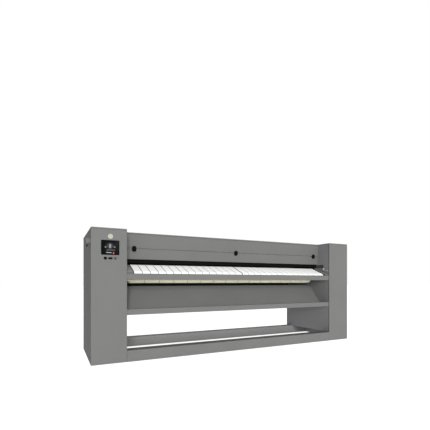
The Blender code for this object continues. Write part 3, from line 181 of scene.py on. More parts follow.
class IronerColours(bpy.types.PropertyGroup):
    """Colours of the finishes that a user may change."""

    paint: colour("Paint", "Grey powder coat of the sheet metal", (0.108, 0.108, 0.106))
    light_paint: colour("Light fittings", "Pale fittings at the feed table's ends", (0.3, 0.3, 0.29))
    # painted shade: the hatch and the panel below it get a darker copy of the grey paint
    hood: colour("Hood paint", "Grey of the hatch and the panel below it", (0.101, 0.101, 0.099))
    # painted shade: the columns' outer side panels get a darker copy of the grey paint
    side: colour("Side paint", "Grey of the columns' outer side panels", (0.096, 0.096, 0.095))
    # painted light: a lighter copy of the grey paint, with a slightly bluer tone of its own, on the inner
    # plates, side rails and feed table's ends
    inner: colour("Inner paint", "Inner plates, side rails and feed table's ends", (0.172, 0.174, 0.177))
    # painted light: a lighter copy of the grey paint lifts the shaded rear beam
    beam: colour("Beam paint", "Grey of the rear beam", (0.139, 0.139, 0.137))
    # dark grey: painted shade on the guard brackets and the nose covers, and the key switch's own grey
    bracket: colour("Bracket paint", "Brackets behind the feed table's ends", (0.058, 0.058, 0.057))
    steel: colour("Steel", "Turned shafts and rollers", (0.55, 0.55, 0.54))
    polished: colour("Polished steel", "The heated cylinder", (0.42, 0.42, 0.41))
    # dark steel, also painted shade on the feed rollers in the belt gaps
    dark_steel: colour("Dark steel", "Oiled chain, sprockets and bearings", (0.1, 0.1, 0.1))
    galvanised: colour("Galvanised sheet", "Fan and cabinet", (0.45, 0.46, 0.46))
    motor: colour("Motor enamel", "Gearmotor", (0.06, 0.09, 0.13))
    feed: colour("Feed belts", "White woven feed belts", (0.78, 0.78, 0.77))
    ironing: colour("Ironing belts", "Cream ironing belts", (0.92, 0.89, 0.65))
    # black plastic, also painted shade on the plate behind the slot under the guard
    plastic: colour("Plastic", "Black latches, guard, knobs", (0.0035, 0.0035, 0.0035))
    # black rubber, also painted shade on the feed rollers' middle rings and the rear blanket
    rubber: colour("Rubber", "Feet, roller rings and blanket", (0.02, 0.02, 0.02))
    glass: colour("Glass", "The screen's face", (0.006, 0.006, 0.007))
    enamel: colour("Badge enamel", "Pale face of the bare badge", (0.27, 0.26, 0.19))
    accent: colour("Accent", "The screen's stop mark", (0.25, 0.068, 0.043))


# Modelling by Blender's own operators


def clear_selection():
    if bpy.context.mode != "OBJECT":
        bpy.ops.object.mode_set(mode="OBJECT")
    bpy.ops.object.select_all(action="DESELECT")


def take(made):
    """Makes one object the only selected and the active one."""
    clear_selection()
    made.select_set(True)
    bpy.context.view_layer.objects.active = made
    return made


def settle(made, name):
    """Puts the object's place into its mesh, and names it."""
    take(made)
    bpy.ops.object.transform_apply(location=True, rotation=True, scale=True)
    made.name = made.data.name = name
    return made


def everything():
    bpy.ops.mesh.select_all(action="SELECT")


def edit(made, kind="FACE"):
    """Opens a piece for editing, with nothing selected."""
    take(made)
    bpy.ops.object.mode_set(mode="EDIT")
    bpy.ops.mesh.select_mode(type=kind)
    bpy.ops.mesh.select_all(action="DESELECT")


def leave():
    bpy.ops.object.mode_set(mode="OBJECT")


def pick_faces(made, test):
    """Opens a piece with the faces selected whose middle and normal pass the test."""
    edit(made)
    bm = bmesh.from_edit_mesh(made.data)
    for face in bm.faces:
        face.select_set(test(face.calc_center_median(), face.normal))
    bmesh.update_edit_mesh(made.data)


def pick_edges(made, test):
    """Opens a piece with the edges selected whose two ends pass the test."""
    edit(made, "EDGE")
    bm = bmesh.from_edit_mesh(made.data)
    for edge in bm.edges:
        edge.select_set(test(edge.verts[0].co, edge.verts[1].co))
    bmesh.update_edit_mesh(made.data)


def facing(way):
    """Picks the faces that look one way."""
    way = Vector(way)
    return lambda middle, normal: normal.dot(way) > 0.9


def along(axis):
    """Picks the edges that run along an axis."""
    way = AXIS[axis]
    return lambda a, b: abs((b - a).normalized().dot(way)) > 0.99


def bevel(width, segments=2, affect="EDGES"):
    bpy.ops.mesh.bevel(
        offset=width, offset_type="OFFSET", segments=segments, affect=affect, clamp_overlap=True)


def relieve(made, way, *steps):
    """Insets the faces that look one way and pushes what is left in or out, step after step."""
    pick_faces(made, facing(way))
    for inset, by in steps:
        bpy.ops.mesh.inset(thickness=inset, depth=0)
        if by:
            bpy.ops.mesh.extrude_region_shrink_fatten(TRANSFORM_OT_shrink_fatten={"value": by})
    leave()


def apply(made, kind, **settings):
    """Adds a modifier with its settings, and applies it."""
    take(made)
    modifier = made.modifiers.new(kind.lower(), kind)
    for key, value in settings.items():
        setattr(modifier, key, value)
    bpy.ops.object.modifier_apply(modifier=modifier.name)
    return made


def soften(made, width, angle=50):
    """Rounds every edge sharper than the angle."""
    return apply(made, "BEVEL", width=width, segments=2, limit_method="ANGLE",
                 angle_limit=radians(angle), use_clamp_overlap=True)


def smooth(made, angle=35):
    take(made)
    bpy.ops.object.shade_smooth_by_angle(angle=radians(angle))
    return made


def box(name, low, high):
    """A block between two places on the machine."""
    clear_selection()
    low, high = at(*low), at(*high)
    bpy.ops.mesh.primitive_cube_add(size=1, location=(low + high) / 2, scale=high - low)
    return settle(bpy.context.object, name)


def rounded(name, low, high, axis, corner, edge=0, segments=6):
    """A plate with round corners about an axis and, if wanted, rounded rims."""
    made = box(name, low, high)
    pick_edges(made, along(axis))
    bevel(corner, segments)
    leave()
    return soften(made, edge, 60) if edge else made


def front_plate(name, place, half, front, back, corner, edge=0, segments=6):
    """A rounded plate round a place (x, z), from its front's y to its back's."""
    (x, z), (wide, high) = place, half
    low, high = (x - wide, front, z - high), (x + wide, back, z + high)
    return rounded(name, low, high, "Y", corner, edge, segments)


def trace(points):
    """Draws a line point by point, and stays in edit mode."""
    clear_selection()
    bpy.ops.mesh.primitive_plane_add(size=0.001, location=(0, 0, 0))
    bpy.ops.object.mode_set(mode="EDIT")
    bpy.ops.mesh.select_mode(type="VERT")
    everything()
    bpy.ops.mesh.merge(type="CENTER")
    everything()
    bpy.ops.transform.translate(value=points[0])
    for before, after in zip(points, points[1:]):
        bpy.ops.mesh.extrude_vertices_move(TRANSFORM_OT_translate={"value": after - before})
    return bpy.context.object


def lathe(name, profile, centre, axis, sides=MEDIUM):
    """Traces the profile (radius, along), closes it if it keeps off the axis, and spins it round."""
    out = AXIS["X" if axis == "Z" else "Z"]
    middle = at(*centre)
    points = [middle + out * radius + AXIS[axis] * far for radius, far in profile]
    closed = profile[0][0] and profile[-1][0]
    made = trace(points + points[:1] if closed else points)
    everything()
    bpy.ops.mesh.remove_doubles(threshold=MERGE)
    everything()
    bpy.ops.mesh.spin(steps=sides, angle=ROUND, center=middle, axis=AXIS[axis])
    everything()
    bpy.ops.mesh.remove_doubles(threshold=MERGE)
    bpy.ops.mesh.normals_make_consistent(inside=False)
    leave()
    return settle(made, name)


def drawn_sheet(name, route, left, right, wall):
    """A sheet traced in y and z, extruded across and thickened."""
    made = trace([at(left, y, z) for y, z in route])
    bpy.ops.mesh.select_mode(type="EDGE")
    everything()
    bpy.ops.mesh.extrude_edges_move(TRANSFORM_OT_translate={"value": (right - left, 0, 0)})
    everything()
    bpy.ops.mesh.normals_make_consistent(inside=False)
    leave()
    settle(made, name)
    apply(made, "SOLIDIFY", thickness=wall, offset=0, use_even_offset=True)
    return smooth(soften(made, wall * 0.3), 40)


def copy_of(made, name, by=(0, 0, 0)):
    """A copy with a mesh of its own, moved by a step."""
    take(made)
    bpy.ops.object.duplicate(linked=False)
    twin = bpy.context.object
    bpy.ops.transform.translate(value=by)
    return settle(twin, name)


def unite(name, parts):
    """Joins parts into one piece."""
    clear_selection()
    for part in parts:
        part.select_set(True)
    bpy.context.view_layer.objects.active = parts[0]
    bpy.ops.object.join()
    return settle(bpy.context.object, name)


def carve(made, tool):
    """Takes the tool's shape out of the piece, and removes the tool."""
    apply(made, "BOOLEAN", operation="DIFFERENCE", solver="EXACT", object=tool)
    bpy.data.objects.remove(tool)


def turn_all(made, angle, axis):
    """Turns a piece about the machine's origin, the right-handed way."""
    take(made)
    bpy.ops.object.mode_set(mode="EDIT")
    everything()
    bpy.ops.transform.rotate(
        value=-angle, orient_axis=axis, orient_type="GLOBAL", center_override=at(0, 0, 0))
    leave()


# Finishes


class Nodes:
    """Adds nodes to one tree, and gives them their constants and links."""

    def __init__(self, tree):
        self.tree = tree

    def fill(self, node, inputs):
        for key, value in inputs.items():
            if isinstance(value, bpy.types.NodeSocket):
                self.tree.links.new(value, node.inputs[key])
            else:
                node.inputs[key].default_value = value
        return node

    def add(self, kind, inputs=None, **settings):
        node = self.tree.nodes.new(kind)
        for key, value in settings.items():
            setattr(node, key, value)
        return self.fill(node, inputs or {})

    def ranged(self, value, low, high, to_low, to_high):
        inputs = {"Value": value, "From Min": low, "From Max": high, "To Min": to_low, "To Max": to_high}
        return self.add("ShaderNodeMapRange", inputs, clamp=True).outputs["Result"]

    def maths(self, a, b, how="ADD"):
        return self.add("ShaderNodeMath", {0: a, 1: b}, operation=how).outputs[0]


class Finish(Nodes):
    """A Principled material whose patterns read Object coordinates, or the piece's own UV map."""

    def __init__(self, name, metallic=0.0):
        self.made = bpy.data.materials.new(name)
        self.made.use_nodes = True
        super().__init__(self.made.node_tree)
        self.surface({"Metallic": metallic})
        coords = self.add("ShaderNodeTexCoord")
        self.place, self.run = coords.outputs["Object"], coords.outputs["UV"]

    def surface(self, inputs):
        self.fill(self.tree.nodes["Principled BSDF"], inputs)

    def stretched(self, source, scale, shift=(0, 0, 0)):
        inputs = {"Vector": source, "Scale": scale, "Location": shift}
        return self.add("ShaderNodeMapping", inputs).outputs["Vector"]

    def noise(self, scale, detail, rough=0.55, source=None):
        inputs = {"Vector": source or self.place, "Scale": scale, "Detail": detail, "Roughness": rough}
        return self.add("ShaderNodeTexNoise", inputs).outputs["Fac"]

    def waves(self, source, scale, direction):
        return self.add("ShaderNodeTexWave", {"Vector": source, "Scale": scale},
                        bands_direction=direction, wave_profile="SIN").outputs["Fac"]

    def mixed(self, factor, a, b):
        """A colour between a and b, which are colours or sockets."""
        a, b = (value if isinstance(value, bpy.types.NodeSocket) else (*value, 1) for value in (a, b))
        return self.add("ShaderNodeMix", {0: factor, 6: a, 7: b}, data_type="RGBA").outputs[2]

    def blend(self, mask, low, high, a, b, most=1):
        """Goes from colour a to colour b while the mask goes from low to high."""
        return self.mixed(self.ranged(mask, low, high, 0, most), a, b)

    def relief(self, height, strength, distance):
        bump = self.add("ShaderNodeBump", {"Strength": strength, "Distance": distance, "Height": height})
        self.surface({"Normal": bump.outputs["Normal"]})


def shade(tone, by):
    return tuple(min(1.0, channel * by) for channel in tone)


def powder_coat(name, tone, rough=0.66, spread=0.05):
    """Fine-textured powder coat with faint clouds, dust near the floor and rubbed patches."""
    finish = Finish(name)
    clouds = finish.noise(2.2, 4)
    speck = finish.noise(620, 2)
    base = finish.blend(clouds, 0.3, 0.7, shade(tone, 1 - spread), shade(tone, 1 + spread))
    base = finish.blend(speck, 0.35, 0.7, base, shade(tone, 1.1), 0.5)
    split = finish.add("ShaderNodeSeparateXYZ", {0: finish.place})
    low = finish.ranged(split.outputs["Z"], 0.0, 0.035, 0.35, 0.0)
    grime = finish.maths(low, finish.noise(14, 5), "MULTIPLY")
    rubbed = finish.noise(9, 5, 0.7, finish.stretched(finish.place, (1, 1, 3)))
    finish.surface({"Base Color": finish.mixed(grime, base, shade(tone, 0.72)),
                    "Roughness": finish.ranged(rubbed, 0.35, 0.7, rough - 0.05, rough + 0.08),
                    "Specular IOR Level": 0.07})
    finish.relief(speck, 0.16, 0.0004)
    return finish.made


def turned_steel(name, tone, rough, lines=(900, 5, 5), metallic=1.0):
    """Metal with tool marks that follow the turning, and a little staining."""
    finish = Finish(name, metallic)
    marks = finish.noise(1.0, 4, 0.6, finish.stretched(finish.place, lines))
    stain = finish.noise(11, 5, 0.6)
    base = finish.blend(marks, 0.3, 0.7, shade(tone, 0.86), shade(tone, 1.06))
    finish.surface({"Base Color": finish.blend(stain, 0.55, 0.8, base, shade(tone, 0.62), 0.5),
                    "Roughness": finish.ranged(marks, 0.3, 0.7, rough * 0.75, rough * 1.3)})
    finish.relief(marks, 0.12, 0.0003)
    return finish.made


def zinc(name, tone):
    """Galvanised sheet with its crystal spangle."""
    finish = Finish(name, 0.85)
    cells = finish.add("ShaderNodeTexVoronoi", {"Vector": finish.place, "Scale": 75})
    split = finish.add("ShaderNodeSeparateColor", {0: cells.outputs["Color"]})
    base = finish.mixed(split.outputs[0], shade(tone, 0.78), shade(tone, 1.12))
    dull = finish.noise(6, 4)
    finish.surface({"Base Color": finish.blend(dull, 0.4, 0.75, base, shade(tone, 0.85), 0.5),
                    "Roughness": finish.ranged(split.outputs[1], 0, 1, 0.38, 0.6)})
    finish.relief(cells.outputs["Distance"], 0.08, 0.0005)
    return finish.made


def woven(name, tone, thread, dirt, fuzz=0.0):
    """Belt cloth: warp along the run and weft across it, on the belt's own UV map in metres."""
    finish = Finish(name)
    warp = finish.waves(finish.run, 2 / thread / ROUND, "X")
    weft = finish.waves(finish.run, 1.4 / thread / ROUND, "Y")
    weave = finish.maths(warp, weft, "MULTIPLY")
    fibres = finish.noise(1.0, 3, 0.55, finish.stretched(finish.run, (220, 3, 1)))
    cloud = finish.noise(7, 4)
    base = finish.blend(weave, 0, 0.8, shade(tone, 0.9), shade(tone, 1.03))
    base = finish.blend(fibres, 0.35, 0.7, base, shade(tone, 0.93), 0.5)
    finish.surface({"Base Color": finish.blend(cloud, 0.45, 0.8, base, shade(tone, 0.8), dirt),
                    "Roughness": finish.ranged(fibres, 0.3, 0.7, 0.8, 0.95),
                    "Sheen Weight": fuzz, "Sheen Roughness": 0.5})
    finish.relief(weave, 0.35, 0.0005)
    return finish.made


def moulded(name, tone, rough, grain, strength, shine):
    """Moulded plastic or rubber with a fine grain and handling marks."""
    finish = Finish(name)
    fine = finish.noise(grain, 2)
    worn = finish.noise(35, 5, 0.65)
    finish.surface({"Base Color": finish.blend(worn, 0.55, 0.8, tone, shade(tone, 1.8), 0.6),
                    "Roughness": finish.ranged(worn, 0.3, 0.7, rough - 0.06, rough + 0.12),
                    "Specular IOR Level": shine})
    finish.relief(fine, strength, 0.0003)
    return finish.made


def enamel(name, tone, rough, metallic=0.0):
    """Brushed-on gloss enamel with slight waviness."""
    finish = Finish(name, metallic)
    wave = finish.noise(55, 3)
    chips = finish.noise(160, 4, 0.7)
    base = finish.blend(wave, 0.3, 0.7, shade(tone, 0.93), shade(tone, 1.06))
    finish.surface({"Base Color": finish.blend(chips, 0.72, 0.78, base, shade(tone, 0.5), 0.6),
                    "Roughness": finish.ranged(wave, 0.3, 0.7, rough - 0.05, rough + 0.07),
                    "Coat Weight": 0.2})
    finish.relief(wave, 0.1, 0.0006)
    return finish.made


def display_finish():
    """The lit screen: a dim dial, two side marks, a pale bar and a small stop mark, all generic."""
    finish = Finish("screen_display")
    from_middle = finish.stretched(finish.place, (1, 1, 1), -at(SCREEN[0], 0, SCREEN[1]))
    split = finish.add("ShaderNodeSeparateXYZ", {0: from_middle})
    across, up = split.outputs["X"], split.outputs["Z"]

    def size_of(value):
        return finish.add("ShaderNodeMath", {0: value}, operation="ABSOLUTE").outputs[0]

    def patch(x, z, width, height, edge=0.0008):
        sideways = finish.maths(size_of(finish.maths(across, -x)), -width / 2)
        upward = finish.maths(size_of(finish.maths(up, -z)), -height / 2)
        return finish.ranged(finish.maths(sideways, upward, "MAXIMUM"), -edge, edge, 1, 0)

    def ring(x, z, radius, wide, edge=0.001):
        spoke = finish.add("ShaderNodeCombineXYZ", {0: finish.maths(across, -x), 1: finish.maths(up, -z)})
        far = finish.add("ShaderNodeVectorMath", {0: spoke.outputs[0]}, operation="LENGTH")
        off = finish.maths(size_of(finish.maths(far.outputs["Value"], -radius)), -wide / 2)
        return finish.ranged(off, -edge, edge, 1, 0)

    def dial(*numbers):
        return finish.maths(ring(*numbers), upper, "MULTIPLY")

    upper = finish.ranged(up, -0.006, 0.004, 0, 1)
    field = patch(0, 0.002, 0.146, 0.116, 0.004)
    tone = finish.mixed(field, (0.0012, 0.0012, 0.0012), (0.0026, 0.0027, 0.0029))
    for mask, lit in (
        (dial(-0.002, 0.0, 0.046, 0.004), (0.011, 0.012, 0.013)),
        (ring(-0.003, 0.012, 0.0, 0.048, 0.01), (0.022, 0.023, 0.024)),
        (dial(-0.002, 0.0, 0.031, 0.008, 0.004), (0.022, 0.023, 0.025)),
        (patch(-0.002, 0.014, 0.015, 0.034, 0.004), (0.12, 0.125, 0.13)),
        (patch(-0.042, 0.003, 0.01, 0.011, 0.002), (0.115, 0.118, 0.122)),
        (patch(0.039, 0.005, 0.01, 0.011, 0.002), (0.095, 0.098, 0.102)),
        (patch(0.003, -0.023, 0.076, 0.009, 0.003), (0.042, 0.043, 0.045)),
        (patch(-0.0125, -0.0462, 0.046, 0.0068), (0.17, 0.17, 0.163)),
        (patch(0.0285, -0.0495, 0.01, 0.0175), tuple(bpy.context.scene.ironer_colours.accent)),
    ):
        tone = finish.mixed(mask, tone, lit)
    smear = finish.noise(30, 4)
    finish.surface({"Base Color": tone, "Emission Color": tone, "Emission Strength": 1.0,
                    "Roughness": finish.ranged(smear, 0.35, 0.75, 0.15, 0.3), "Specular IOR Level": 0.005})
    finish.relief(smear, 0.01, 0.0002)
    return finish.made


def make_finishes():
    tones = bpy.context.scene.ironer_colours
    get = lambda key: tuple(getattr(tones, key))
    return {
        "grey_paint": powder_coat("grey_powder_coat", get("paint")),
        "light_paint": powder_coat("pale_powder_coat", get("light_paint"), 0.5, 0.03),
        "hood_shade_paint": powder_coat("hood_powder_coat", get("hood")),
        "side_paint": powder_coat("side_powder_coat", get("side")),
        "inner_painted_light_paint": powder_coat("inner_powder_coat", get("inner"), 0.64, 0.04),
        "beam_painted_light_paint": powder_coat("beam_powder_coat", get("beam"), 0.64, 0.04),
        "bracket_paint": powder_coat("bracket_powder_coat", get("bracket"), 0.64, 0.03),
        "steel": turned_steel("turned_steel", get("steel"), 0.34),
        "polished_steel": turned_steel("polished_steel", get("polished"), 0.18, (1400, 3, 3)),
        "dark_steel": turned_steel("oiled_steel", get("dark_steel"), 0.42, (160, 160, 160), 0.8),
        "white_belt": woven("white_feed_belt", get("feed"), 0.0012, 0.25),
        "cream_belt": woven("cream_ironing_belt", get("ironing"), 0.0018, 0.45, 0.15),
        "black_plastic": moulded("black_plastic", get("plastic"), 0.7, 420, 0.12, 0.025),
        "dull_black": moulded("dull_black", get("plastic"), 0.85, 300, 0.12, 0.0),
        "black_glass": moulded("black_glass", get("glass"), 0.2, 40, 0.01, 0.15),
        "black_rubber": moulded("black_rubber", get("rubber"), 0.8, 260, 0.25, 0.1),
        "motor_blue": enamel("motor_enamel", get("motor"), 0.45, 0.1),
        "galvanised": zinc("galvanised_sheet", get("galvanised")),
        "badge": enamel("badge_enamel", get("enamel"), 0.3),
    }


FINISHES = {}

# Nodes that don't have the plain grey paint
FINISH_NODES = {
    "steel": ("stripper_bar", "key_switch", "heater_bank"),
    "dark_steel": ("lint_pan", "cylinder_bearing_left", "cylinder_bearing_right", "cylinder_sprocket",
                   "motor_sprocket"),
    "black_plastic": ("finger_guard",),
    "motor_blue": ("gearmotor",),
    "galvanised": ("exhaust_fan_housing", "fan_impeller", "electrical_cabinet"),
    "black_rubber": ("foot_front_left", "foot_front_right", "foot_rear_left", "foot_rear_right"),
    # painted light: a lighter, slightly bluer copy of the grey paint on the inner plates and side rails
    "inner_painted_light_paint": ("left_inner_plate", "right_inner_plate", "base_rail_left", "base_rail_right"),
    # painted light: a lighter copy of the grey paint on the rear beam
    "beam_painted_light_paint": ("base_rear_beam",),
    # painted shade: a darker copy of the grey paint on the hatch and the panel below it
    "hood_shade_paint": ("hood_hatch", "hood_lower_panel"),
    # painted shade: a darker copy of the grey paint on the outer side panels
    "side_paint": ("left_side_panel", "right_side_panel"),
}


def note(made, body, node=None):
    """Puts a finished piece on the body that it rides on, and hides the node that it replaces."""
    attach(made, body)
    if node:
        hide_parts(node)


def dress(made, finish, body="frame", node=None):
    """Gives a finished piece its material and its place."""
    made.data.materials.clear()
    made.data.materials.append(FINISHES[finish])
    note(made, body, node)


def inlay(made, finish, inlaid, test):
    """Gives a piece its material, and another one to the faces that pass the test."""
    made.data.materials.append(FINISHES[finish])
    made.data.materials.append(inlaid)
    pick_faces(made, test)
    made.active_material_index = 1
    bpy.ops.object.material_slot_assign()
    leave()


class IRONER_OT_finishes(bpy.types.Operator):
    """Make every finish and give the CAD nodes theirs"""

    bl_idname = "ironer.finishes"
    bl_label = "Finishes"

    def execute(self, context):
        FINISHES.update(make_finishes())
        finish_of = {node: finish for finish, nodes in FINISH_NODES.items() for node in nodes}
        for name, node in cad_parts.items():
            for slot in node.material_slots:
                slot.material = FINISHES[finish_of.get(name, "grey_paint")]
        return {"FINISHED"}


# Belts


def left_of(heading):
    return Vector((-sin(heading), cos(heading)))


def belt_legs(wheels, thick):
    """Arcs and straights of a belt round wheels (y, z, inner radius), minus where it passes outside."""
    pairs = list(zip(wheels, wheels[1:] + wheels[:1]))
    headings = []
    for (y, z, radius), (next_y, next_z, next_radius) in pairs:
        bearing = atan2(next_z - z, next_y - y)
        headings.append(bearing - asin((next_radius - radius) / hypot(next_y - y, next_z - z)))
    legs = []
    for i, ((y, z, radius), (next_y, next_z, next_radius)) in enumerate(pairs):
        start, heading = headings[i - 1], headings[i]
        sweep = (heading - start) % ROUND - (ROUND if radius < 0 else 0)
        centre, mid = Vector((y, z)), radius + thick / 2
        end = centre - left_of(heading) * mid
        ahead = Vector((next_y, next_z)) - left_of(heading) * (next_radius + thick / 2)
        legs.append({"centre": centre, "mid": mid, "start": start, "sweep": sweep, "arc": abs(sweep * mid),
                     "begin": centre - left_of(start) * mid, "end": end, "line": ahead - end})
    return legs


def run_length(legs, y, z):
    """How far along the belt a point lies, and how long the belt is."""
    point, done, finds = Vector((y, z)), 0, []
    for leg in legs:
        spoke, sweep = point - leg["centre"], leg["sweep"]
        away = -left_of(leg["start"]) * (1 if leg["mid"] > 0 else -1)
        turn = atan2(away.x * spoke.y - away.y * spoke.x, away.dot(spoke)) * (1 if sweep > 0 else -1)
        share = turn % ROUND / abs(sweep)
        if share <= 1 + SLACK or share >= ROUND / abs(sweep) - SLACK:
            share = share if share <= 1 + SLACK else 0
            finds.append((abs(spoke.length - abs(leg["mid"])), done + share * leg["arc"]))
        done += leg["arc"]
        way, far = leg["line"].normalized(), leg["line"].length
        reach = (point - leg["end"]).dot(way)
        if -SLACK <= reach <= far + SLACK:
            finds.append(((point - leg["end"] - way * reach).length, done + reach))
        done += far
    return min(finds)[1], done


def belt(name, left, right, thick, wheels, arc):
    """Draws the belt's cross-section once, spins it round each wheel and extrudes each straight."""
    legs = belt_legs(wheels, thick)
    first = legs[0]
    clear_selection()
    spot = at((left + right) / 2, first["begin"].x, first["begin"].y)
    bpy.ops.mesh.primitive_plane_add(size=1, location=spot, rotation=(first["start"] + pi / 2, 0, 0))
    made = bpy.context.object
    made.scale = (right - left, thick, 1)
    settle(made, name)
    edit(made, "VERT")
    everything()
    bevel(thick * 0.35, 2, "VERTICES")
    bpy.ops.mesh.select_mode(type="FACE")
    everything()
    for leg in legs:
        steps = max(2, ceil(abs(leg["sweep"]) / arc))
        bpy.ops.mesh.spin(steps=steps, angle=-leg["sweep"], center=at(0, *leg["centre"]), axis=AXIS["X"])
        bpy.ops.mesh.extrude_region_move(TRANSFORM_OT_translate={"value": (0, *leg["line"])})
    bpy.ops.mesh.select_all(action="DESELECT")
    bpy.ops.mesh.select_face_by_sides(number=4, type="GREATER", extend=False)
    bpy.ops.mesh.delete(type="ONLY_FACE")
    everything()
    bpy.ops.mesh.remove_doubles(threshold=0.00002)
    bpy.ops.mesh.normals_make_consistent(inside=False)
    leave()
    lay_run(made, legs, (left + right) / 2)
    return smooth(made, 50)


def lay_run(made, legs, middle):
    """Gives the belt a UV map in metres: across the belt, and along its run."""
    layer = made.data.uv_layers.get("UVMap") or made.data.uv_layers.new(name="UVMap")
    far = {}
    for vert in made.data.vertices:
        far[vert.index], whole = run_length(legs, vert.co.y - FRONT, vert.co.z)
    for face in made.data.polygons:
        loops = [(i, made.data.loops[i].vertex_index) for i in face.loop_indices]
        longest = max(far[v] for _, v in loops)
        for i, v in loops:
            lap = whole if longest - far[v] > whole / 2 else 0
            layer.data[i].uv = (made.data.vertices[v].co.x - MIDDLE - middle, far[v] + lap)


def belt_row(first, word, shifts, finish, nodes):
    """Copies the first belt across, and dresses every belt for the node that it replaces."""
    copies = [copy_of(first, f"{word}_{i:02d}", (shift, 0, 0)) for i, shift in enumerate(shifts, 2)]
    for made, node in zip([first, *copies], nodes):
        dress(made, finish, node=node)


class IRONER_OT_feed_belts(bpy.types.Operator):
    """White feed belts, one beside the other over the nose and drive rollers"""

    bl_idname = "ironer.feed_belts"
    bl_label = "Feed belts"

    def execute(self, context):
        sizes = context.scene.ironer_sizes
        wheels = [(*NOSE, NOSE_RADIUS + BELT_CLEAR), (*DRIVE, DRIVE_RADIUS + BELT_CLEAR)]
        half = sizes.feed_belts // 2
        split = (sizes.middle_gap - sizes.feed_gap) / 2
        pitch = (sizes.belt_field - split) / half
        left = -sizes.belt_field + sizes.feed_gap / 2
        right = left + pitch - sizes.feed_gap
        first = belt("feed_belt_01", left, right, sizes.feed_belt, wheels, radians(7))
        shifts = [i * pitch + (2 * split if i >= half else 0) for i in range(1, 2 * half)]
        nodes = ["feed_belts_left"] * half + ["feed_belts_right"] * half
        belt_row(first, "feed_belt", shifts, "white_belt", nodes)
        return {"FINISHED"}


class IRONER_OT_ironing_belts(bpy.types.Operator):
    """Cream ironing belts that press the linen round the heated cylinder"""

    bl_idname = "ironer.ironing_belts"
    bl_label = "Ironing belts"

    def execute(self, context):
        sizes = context.scene.ironer_sizes
        wheels = [(*place, GUIDE_RADIUS + BELT_CLEAR) for place in GUIDES.values()]
        wheels.append((*CYLINDER, -(CYLINDER_RADIUS + BELT_CLEAR + sizes.ironing_belt)))
        count = sizes.ironing_belts
        pitch = 2 * sizes.belt_field / count
        left = -sizes.belt_field + sizes.ironing_gap / 2
        right = left + pitch - sizes.ironing_gap
        first = belt("ironing_belt_01", left, right, sizes.ironing_belt, wheels, radians(8))
        shifts = [i * pitch for i in range(1, count)]
        belt_row(first, "ironing_belt", shifts, "cream_belt", ["ironing_belts"] * count)
        return {"FINISHED"}


# Rollers and cylinder


def roller(node, place, radius, half, chamfer, finish="steel"):
    """A tube with pressed ends, a stub shaft with a chamfered tip, and its centre bore."""
    reach, shaft, bore, wall = 1.29, 0.01, 0.005, 0.004
    tip, collar, dish = 0.001, 0.014, 0.0015
    rim = radius - wall
    outside = [(shaft - tip, reach), (shaft, reach - tip), (shaft, half), (collar, half),
               (collar, half - dish), (rim, half - dish), (rim, half), (radius - chamfer, half),
               (radius, half - chamfer)]
    inside = [(bore, -reach), (bore, wall - half), (rim, wall - half)]
    made = lathe(node + "_turned", mirrored(outside) + mirrored(inside), (0, *place), "X", CLOSE)
    dress(smooth(made), finish, node + "_body", node)


class IRONER_OT_rollers(bpy.types.Operator):
    """Guide rollers of the ironing belts, and the feed table's nose and drive rollers"""

    bl_idname = "ironer.rollers"
    bl_label = "Rollers"

    def execute(self, context):
        sizes = context.scene.ironer_sizes
        for node, place in GUIDES.items():
            roller(node, place, GUIDE_RADIUS, GUIDE_HALF, sizes.roller_end)
        clear, under, proud, edge = 0.0015, 0.0001, 0.0014, 0.0004
        half = sizes.middle_gap / 2 - clear
        for node, place, radius in (("feed_nose_roller", NOSE, NOSE_RADIUS),
                                    ("feed_drive_roller", DRIVE, DRIVE_RADIUS)):
            # painted shade: dark steel feed rollers keep the belt gaps dark at the nose
            roller(node, place, radius, sizes.belt_field, sizes.roller_end, "dark_steel")
            profile = [(radius + under, -half), (radius + proud - edge, -half), (radius + proud, edge - half)]
            # painted shade: a black ring darkens the middle gap between the belt halves
            ring = lathe(node + "_ring", mirrored(profile), (0, *place), "X", CLOSE)
            dress(smooth(ring), "black_rubber", node + "_body")
        return {"FINISHED"}


class IRONER_OT_cylinder(bpy.types.Operator):
    """Polished heated cylinder with its end plates and hollow journals"""

    bl_idname = "ironer.cylinder"
    bl_label = "Heated cylinder"

    def execute(self, context):
        half, journal, bore, inner, wall = 1.235, 0.035, 0.0205, 0.192, 0.01
        right, left = 1.366, -1.3357
        tip, boss, groove, edge = 0.001, 0.004, 0.002, 0.003
        radius = CYLINDER_RADIUS
        end = [(journal, half + boss), (journal + 0.012, half + boss), (journal + 0.016, half),
               (radius - 0.018, half), (radius - 0.016, half - groove), (radius - 0.008, half - groove),
               (radius - 0.006, half), (radius - edge, half), (radius - edge * 0.3, half - edge * 0.3),
               (radius, half - edge)]
        profile = [(journal - tip, right), (journal, right - tip), *mirrored(end),
                   (journal, left + tip), (journal - tip, left), (bore, left),
                   *mirrored([(bore, wall - half), (inner, wall - half)]), (bore, right)]
        made = lathe("heated_cylinder_turned", profile, (0, *CYLINDER), "X", CYLINDER_SIDES)
        dress(smooth(made), "polished_steel", "cylinder", node="heated_cylinder")
        return {"FINISHED"}


# Feed table's ends


def on_slope(centre, ahead, above):
    """A place (y, z) so far up the feed table's slope from a shaft, and so far above it."""
    return (centre[0] + ahead * cos(SLOPE) - above * sin(SLOPE),
            centre[1] + ahead * sin(SLOPE) + above * cos(SLOPE))


